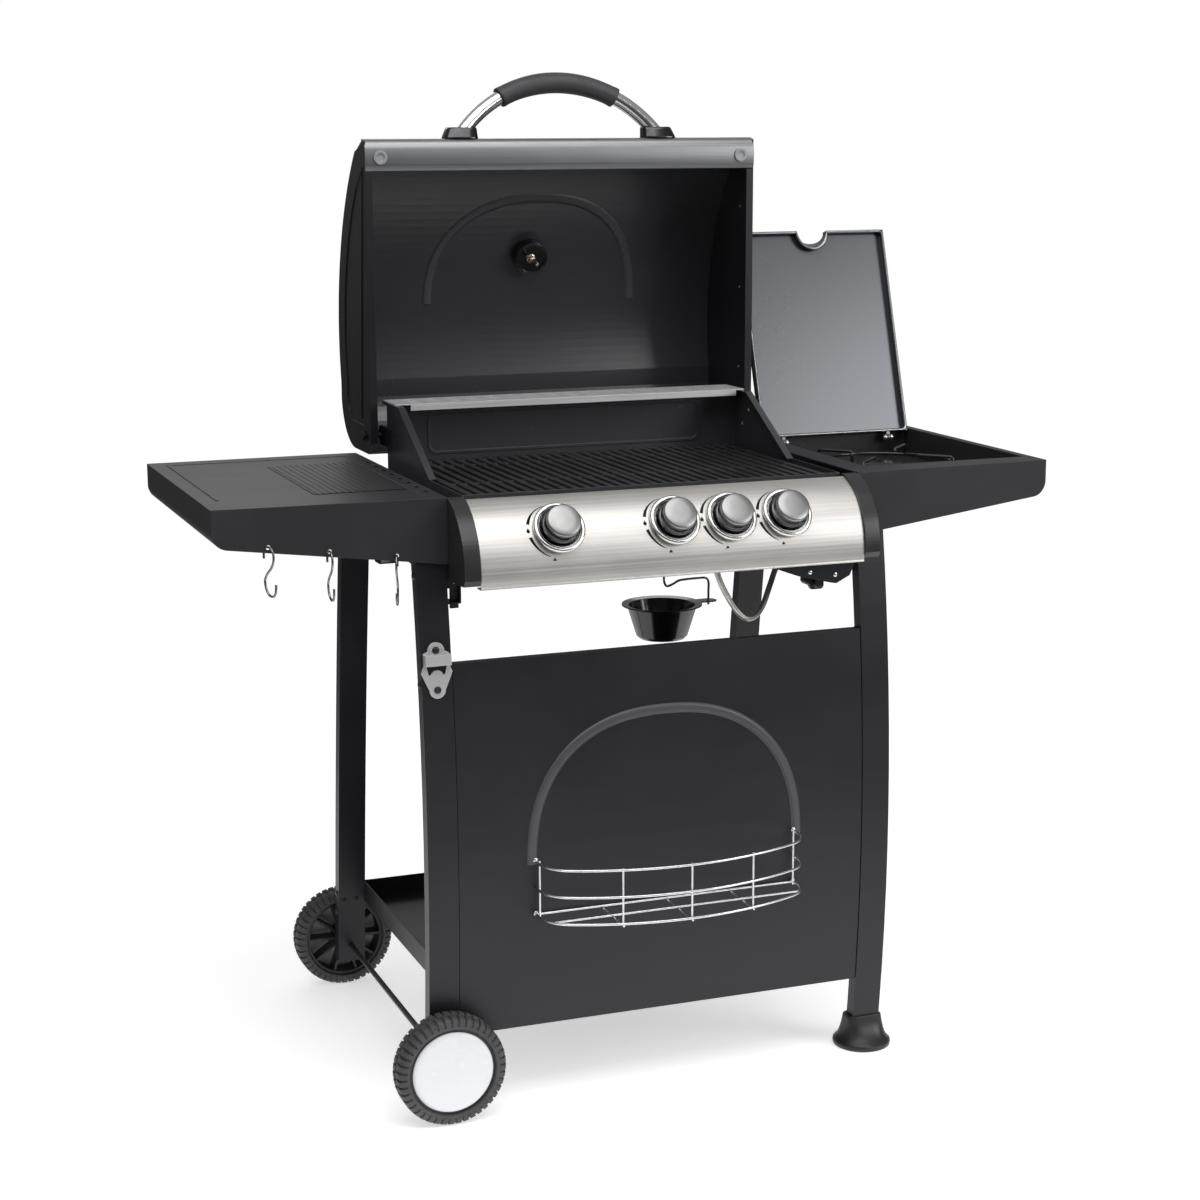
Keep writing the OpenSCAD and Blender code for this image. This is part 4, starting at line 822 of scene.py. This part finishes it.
def make_pan_trivet():
    """A ring of wire on short legs, with four bent arms that carry a pan."""
    ring_r, leg_r = 105.5, 105
    arm_side = [(104.5, 807), (104.8, 812), (104.0, 817), (101, 819.6), (96, 820), (75, 820), (56, 820),
                (52, 819.4), (50.5, 817)]
    leg_heights = (788.4, 796, 804)

    def spoke(angle, side):
        """Points of (reach, height) on the line out from the burner at an angle."""
        return [at(BURNER_X + r * math.cos(angle), r * math.sin(angle), z) for r, z in side]
    shape = bmesh.new()
    circle = [at(BURNER_X + ring_r * math.cos(a), ring_r * math.sin(a), 805.5) for a in around(96)]
    drawn_wire(shape, circle, 2.5, 12, closed=True)
    for arm in range(4):
        drawn_wire(shape, eased(spoke(math.radians(45 + 90 * arm), arm_side), 5), 2.6, 10)
        drawn_wire(shape, spoke(math.radians(90 * arm), [(leg_r, z) for z in leg_heights]), 2.6, 12)
    piece("pan_trivet", shape, "cart", "gloss_enamel", stands_for=["pan_support"])


# ---- shelves ----

SHELF_Z = 832


def make_perforated_field():
    """A punched sheet let into the left shelf: rows of small round holes whose walls and bottoms are painted
    near-black as the shade inside them.
    """
    pitch, hole, columns, rows, sides = 9.0, 2.1, 14, 30, 8
    left, near = -446.0, -140.0
    top, floor = SHELF_Z - 0.05, SHELF_Z - 0.72
    shape = bmesh.new()
    for column in range(columns):
        for row in range(rows):
            middle = Vector((left + pitch * (column + 0.5), near + pitch * (row + 0.5), 0))
            rim, foot, square = [], [], []
            for a in around(sides):
                c, s = math.cos(a), math.sin(a)
                reach = pitch / 2 / max(abs(c), abs(s))
                for line, out, height in ((rim, hole, top), (foot, hole, floor), (square, reach, top)):
                    line.append(shape.verts.new(at(middle.x + out * c, middle.y + out * s, height)))
            for k in range(sides):
                n = (k + 1) % sides
                shape.faces.new((square[k], square[n], rim[n], rim[k]))
                shape.faces.new((rim[k], rim[n], foot[n], foot[k])).material_index = 1
            shape.faces.new(foot).material_index = 1
    bmesh.ops.remove_doubles(shape, verts=shape.verts, dist=0.02 * MM)
    piece("perforated_field", shape, "cart", "black_enamel", ["shelf_enamel", "hole_painted_shade"])


# ---- lid ----

LID_TOP = 1281
LID_ARC_Y, LID_ARC_Z, LID_R = -75, 1000, 367


HANDLE_R, HANDLE_MIDDLE_Z = 188, 1173
HANDLE_LEAN = math.radians(12)
GRIP_END = 28.0            # degrees from the handle's crown


def on_handle(angle, radius=HANDLE_R):
    """Point of the bent handle's centre line at an angle from its crown, in degrees."""
    a = math.radians(angle)
    up = HANDLE_MIDDLE_Z - LID_TOP + radius * math.cos(a)
    return at(radius * math.sin(a), 145 + up * math.sin(HANDLE_LEAN), LID_TOP + up * math.cos(HANDLE_LEAN))


def make_grip():
    """Soft sleeve over the handle, swelling to a rolled collar at each end."""
    collar = [(-GRIP_END, 10.6), (-GRIP_END, 13.6), (-27.8, 14.4), (-27.0, 14.6), (-25.5, 14.2), (-22, 14.2),
              (-14, 14.6), (-7, 14.8)]
    stations = collar + [(0, 14.8)] + [(-a, r) for a, r in collar[::-1]]
    rows = []
    for (a, ra), (b, rb) in zip(stations, stations[1:]):
        steps = max(1, round(abs(b - a) / 1.6))
        rows += [(a + (b - a) * k / steps, ra + (rb - ra) * k / steps) for k in range(steps)]
    rows.append(stations[-1])
    forward = Vector((0, -math.cos(HANDLE_LEAN), math.sin(HANDLE_LEAN)))
    shape = bmesh.new()
    rings = []
    for angle, radius in rows:
        outward = (on_handle(angle, 200) - on_handle(angle, 100)).normalized()
        rings.append([shape.verts.new(on_handle(angle) + (outward * math.cos(t) + forward * math.sin(t))
                                      * radius * MM) for t in around(28)])
    join_rings(shape, rings)
    piece("handle_sleeve", shape, "main_lid", "grip_plastic", stands_for=["handle_grip"], crease=50)


def make_handle_arc():
    """The handle's bent tube, down into its pods."""
    shape = bmesh.new()
    drawn_wire(shape, [on_handle(a * 0.5) for a in range(-105, 106, 3)], 10.2, 28)
    piece("handle_arc", shape, "main_lid", "satin_chrome", stands_for=["handle_tube"], crease=60)


def thermometer_place(out):
    """Frame on the lid's back skin; +Z points out of the lid."""
    a = math.radians(17.4)
    direction = Vector((0, math.cos(a), math.sin(a)))
    return facing(at(-7, LID_ARC_Y, LID_ARC_Z) + direction * out * MM, direction)


def make_thermometer():
    """The dial's glass and its ring of tick marks, with a red stretch."""
    glass = bmesh.new()
    turned(glass, [(0, LID_R + 11.4), (16, LID_R + 11.2), (25.8, LID_R + 10.4), (25.8, LID_R + 9.9),
                   (16, LID_R + 10.6), (0, LID_R + 10.8)], thermometer_place(0), 64)
    piece("thermometer_glass", glass, "main_lid", "dial_face", ["lens_glass"])
    scale = bmesh.new()
    mark_r, ticks, sweep = 24.2, 24, 270
    for tick in range(ticks + 1):
        angle = math.radians(225 - sweep / ticks * tick)
        length = 4.4 if tick % 4 == 0 else 2.6
        turn = thermometer_place(LID_R + 8.72) @ Matrix.Rotation(angle, 4, "Z")
        block(scale, (mark_r - length, -0.35, 0), (mark_r, 0.35, 0.1), turn, 1 if 9 <= tick <= 16 else 0)
    piece("thermometer_scale", scale, "main_lid", "dial_face", ["dark_print", "red_print"])


def make_wall_rivets():
    """Domed rivets where the side plates fold onto the lid's skin, and on the firebox walls."""
    lid, walls = bmesh.new(), bmesh.new()
    for side in (-1, 1):
        for z in (940, 1060, 1180):
            rivet(lid, facing(at(side * 294.3, 170, z), (-side, 0, 0)), 1.8, 0.9)
        for y, z in ((78, 884), (100, 862)):
            rivet(walls, facing(at(side * 269.4, y, z), (-side, 0, 0)), 2.6, 1.4)
    piece("lid_rivets", lid, "main_lid", "plain_steel")
    piece("wall_rivets", walls, "cart", "brass")


# ---- pressed and rolled sheet ----

def bell_line(half_width, foot, top):
    """Middle line of a pressed arch, as (x, z) in mm: a flat-topped bell."""
    steps, power = 72, 2 / 2.35
    angles = [math.pi * k / steps for k in range(steps + 1)]
    return [(half_width * swelled(math.cos(a), power), foot + (top - foot) * abs(math.sin(a)) ** power)
            for a in angles]


HALF_RIDGE = [(7.4, -0.3), (6.4, 0.5), (5.4, 1.5), (4.4, 2.2), (2.4, 2.42)]
RIDGE = [(-aside, proud) for aside, proud in HALF_RIDGE] + [(0, 2.5)] + HALF_RIDGE[::-1]


def pressed_ridge(line, skin):
    """A soft-shouldered bead along a line; skin(x, z, proud) gives the point that far off the sheet."""
    shape = bmesh.new()
    rings = []
    for k, (x, z) in enumerate(line):
        (ax, az), (bx, bz) = line[max(k - 1, 0)], line[min(k + 1, len(line) - 1)]
        long = math.hypot(bx - ax, bz - az)
        across = ((az - bz) / long, (bx - ax) / long)
        rings.append([shape.verts.new(skin(x + across[0] * s, z + across[1] * s, h)) for s, h in RIDGE])
    join_rings(shape, rings)
    close_ends(shape, rings)
    return shape


def panel_skin(x, z, proud):
    """A point that far off the front panel, which bows like the front legs."""
    return at(x, -261 + (z - 335) ** 2 / 5000 + 1 - proud, z)


def lid_skin(x, z, proud):
    """A point that far off the inside of the lid's curved shell."""
    radius = LID_R - 1.5 - proud * 0.72
    return at(x, LID_ARC_Y + math.sqrt(radius ** 2 - (z - LID_ARC_Z) ** 2), z)


def make_pressed_arches():
    """The arch pressed into the front panel, and the one inside the lid, painted lighter than the sheet as a
    highlight.
    """
    piece("panel_arch", pressed_ridge(bell_line(193.5, 337, 531), panel_skin), "cart", "black_enamel",
          ["ridge_painted_highlight"], crease=60)
    piece("lid_arch", pressed_ridge(bell_line(162, 1039, 1194), lid_skin), "main_lid", "black_enamel",
          ["ridge_painted_highlight"], crease=60)


def extruded(shape, outline, place_of, low, high):
    """A prism: outline points through place_of(x, point) at x = low and high, with closed ends."""
    rings = [[shape.verts.new(place_of(x, point)) for point in outline] for x in (low, high)]
    join_rings(shape, rings)
    close_ends(shape, rings)


LID_HALF = 295.7           # half the width of the lid's rolled front


def make_lid_front_roll():
    """The lid's front edge, rolled over in a soft curve, with a round pad near each end."""
    outline = [(128.6, 1236.6), (126.6, 1237.6), (125.4, 1240.5), (124.6, 1246), (124.2, 1253),
               (124.4, 1260), (125.2, 1267), (126.8, 1273), (129.2, 1277.4), (132.6, 1280.2), (137, 1281.4),
               (143.4, 1281.6), (143.4, 1279.6), (136, 1279), (131, 1274), (129.4, 1262), (129.2, 1240)]
    pad = [(10, -0.5), (10, 2.0), (9.4, 2.8), (7.6, 3.1), (5.6, 2.6), (5, 1.2), (0, 1.0)]
    shape = bmesh.new()
    extruded(shape, outline, lambda x, point: at(x, *point), -LID_HALF, LID_HALF)
    piece("lid_front_roll", shape, "main_lid", "grey_metal", stands_for=["lid_front_lip"], crease=40)
    pads = bmesh.new()
    for x in (-274, 274):
        turned(pads, pad, facing(at(x, 124.6, 1256), (0, -1, 0)), 36)
    piece("lid_pads", pads, "main_lid", "grey_rubber", stands_for=["lid_bumpers"])


SIDE_LID_HINGE = (163, 820)
SIDE_LID_OPEN = math.radians(107.6)


def on_side_lid(x, y, z):
    """A point of the side burner's lid, drawn closed about its hinge, where it stands open."""
    c, s = math.cos(SIDE_LID_OPEN), -math.sin(SIDE_LID_OPEN)
    return at(x, SIDE_LID_HINGE[0] + y * c - z * s, SIDE_LID_HINGE[1] + y * s + z * c)


def make_side_lid_rim():
    """The rolled rim of the side burner's lid, with its finger notch, in a light metallic grey that paints
    the highlight along its edge.
    """
    left, right, near, far, corner, notch = 334.6, 580.4, -329.4, -10.6, 7, 26

    def arc(x, y, radius, start, step, count):
        """Points of a round stretch about (x, y), from an angle on, in degrees."""
        turn = [math.radians(start + step * k) for k in range(count)]
        return [(x + radius * math.cos(a), y + radius * math.sin(a)) for a in turn]
    line = []
    for x, y, start in ((right - corner, far - corner, 0), (left + corner, far - corner, 90),
                        (left + corner, near + corner, 180)):
        line += arc(x, y, corner, start, 15, 7)
    line += arc((left + right) / 2, near, notch, 180, -12, 16)
    line += arc(right - corner, near + corner, corner, 270, 15, 7)
    rim = bmesh.new()
    drawn_wire(rim, [on_side_lid(x, y, -2.6) for x, y in line], 2.3, 12, closed=True)
    piece("side_lid_rim", rim, "side_burner_lid", "black_enamel", ["rim_painted_highlight"])


def make_brackets():
    """Folded sheet that hangs the control panel, and a dark strip behind the shelf's slots."""
    cheek = [(165, 716), (283, 716), (281, 709), (274, 693.5), (254, 683.7), (244, 685.5), (196, 697.5),
             (165, 709)]
    folds = (((165, -231.5, 714), (283, -231, 716)), ((-288, -207, 708), (-273, -200, 800)),
             ((-284, -206, 681), (-273, -201, 708)), ((-312, -190, 828.4), (-298, 186, 829.4)))
    cart_zero = Matrix.Translation(at(0, 0, 0))
    shape = bmesh.new()
    extruded(shape, cheek, lambda y, point: at(point[0], y, point[1]), -251, -249)
    for low, high in folds:
        block(shape, low, high, cart_zero)
    piece("sheet_brackets", shape, "cart", "black_enamel")
    bolts = bmesh.new()
    for x, y, z, radius in ((214, -251, 702, 3.4), (252, -251, 696, 3.4), (-279, -207, 716, 3.0)):
        rivet(bolts, facing(at(x, y, z), (0, -1, 0)), radius, 1.8)
    piece("bracket_bolts", bolts, "cart", "bright_wire")
    # Painted shade: two near-black domes on the leg stand for the shade inside its holes.
    holes = bmesh.new()
    for x in (-329, -310):
        rivet(holes, facing(at(x, 221.1, 152), (0, -1, 0)), 3.6, 0.8)
    piece("leg_hole_shades", holes, "cart", "black_enamel", ["hole_painted_shade"])


def make_ferrule_pods():
    """Tapered pods that seat the handle's tube on the lid."""
    levels = [(0.4, 25, 14.5, 151), (1.4, 25.4, 14.8, 151), (3, 25, 14.6, 150.8), (12, 22.6, 13.6, 149),
              (14.6, 21.8, 13.2, 148.4), (15.8, 20.8, 12.6, 148.2), (16.2, 19, 11, 148.2)]
    shape = bmesh.new()
    for side in (-1, 1):
        rings = [[shape.verts.new(at(side * x + wide * swelled(math.cos(a), 0.55),
                                     146 + deep * swelled(math.sin(a), 0.55) + up * 0.2, LID_TOP + up))
                  for a in around(56)] for up, wide, deep, x in levels]
        join_rings(shape, rings)
        close_ends(shape, rings)
    piece("handle_pods", shape, "main_lid", "black_plastic", ["pod_chrome"], ["handle_ferrules"], crease=50)


def make_probe():
    """Black cup on the inside of the lid, with a wing nut on the thermometer's stem."""
    cup_in = [(12, 3), (26, 4), (26.2, 6), (25.6, 19), (24.6, 20.6), (22.6, 21), (21, 20.6), (20.4, 18.6),
              (12, 18), (0, 18)]
    nut_in = [(0, 17), (7, 17.4), (7, 19), (5.2, 20), (4.8, 25), (3, 26), (2.4, 27), (2.4, 45), (1.6, 46),
              (0, 46)]
    wing = ((3, -1), (6.4, 0), (9, 2.4), (10.4, 5))
    cup, nut = bmesh.new(), bmesh.new()
    turned(cup, [(r, LID_R - depth) for r, depth in cup_in], thermometer_place(0), 64)
    piece("probe_cup", cup, "main_lid", "brass", ["gloss_enamel"], ["thermometer_probe"])
    turned(nut, [(r, LID_R - depth) for r, depth in nut_in], thermometer_place(0), 28)
    turn = thermometer_place(LID_R - 23) @ Matrix.Rotation(math.radians(35), 4, "Z")
    for side in (-1, 1):
        line = eased([turn @ (Vector((side * out, 0, -inward)) * MM) for out, inward in wing], 4)
        drawn_wire(nut, line, [1.8 + 0.12 * k for k in range(len(line))], 10)
    piece("probe_nut", nut, "main_lid", "brass", ["pale_brass"])


# ---- assembly ----

set_camera(Vector((-1.1558, -3.0263, 1.2957)), yaw=20.84, pitch=11.52, roll=-0.18, lens=69.5)
set_studio()
lay_floor()
paint_frame()
for make in (make_knobs, make_dished_rings, make_dial_marks, make_tyres, make_hub_discs, make_feet,
             make_basket, make_hooks, make_drip_cup_hanger, make_burner_feed, make_pan_trivet,
             make_perforated_field, make_handle_arc, make_grip, make_thermometer, make_wall_rivets,
             make_pressed_arches, make_lid_front_roll, make_side_lid_rim, make_brackets,
             make_ferrule_pods, make_probe):
    make()

bpy.context.scene.view_settings.view_transform = "Standard"
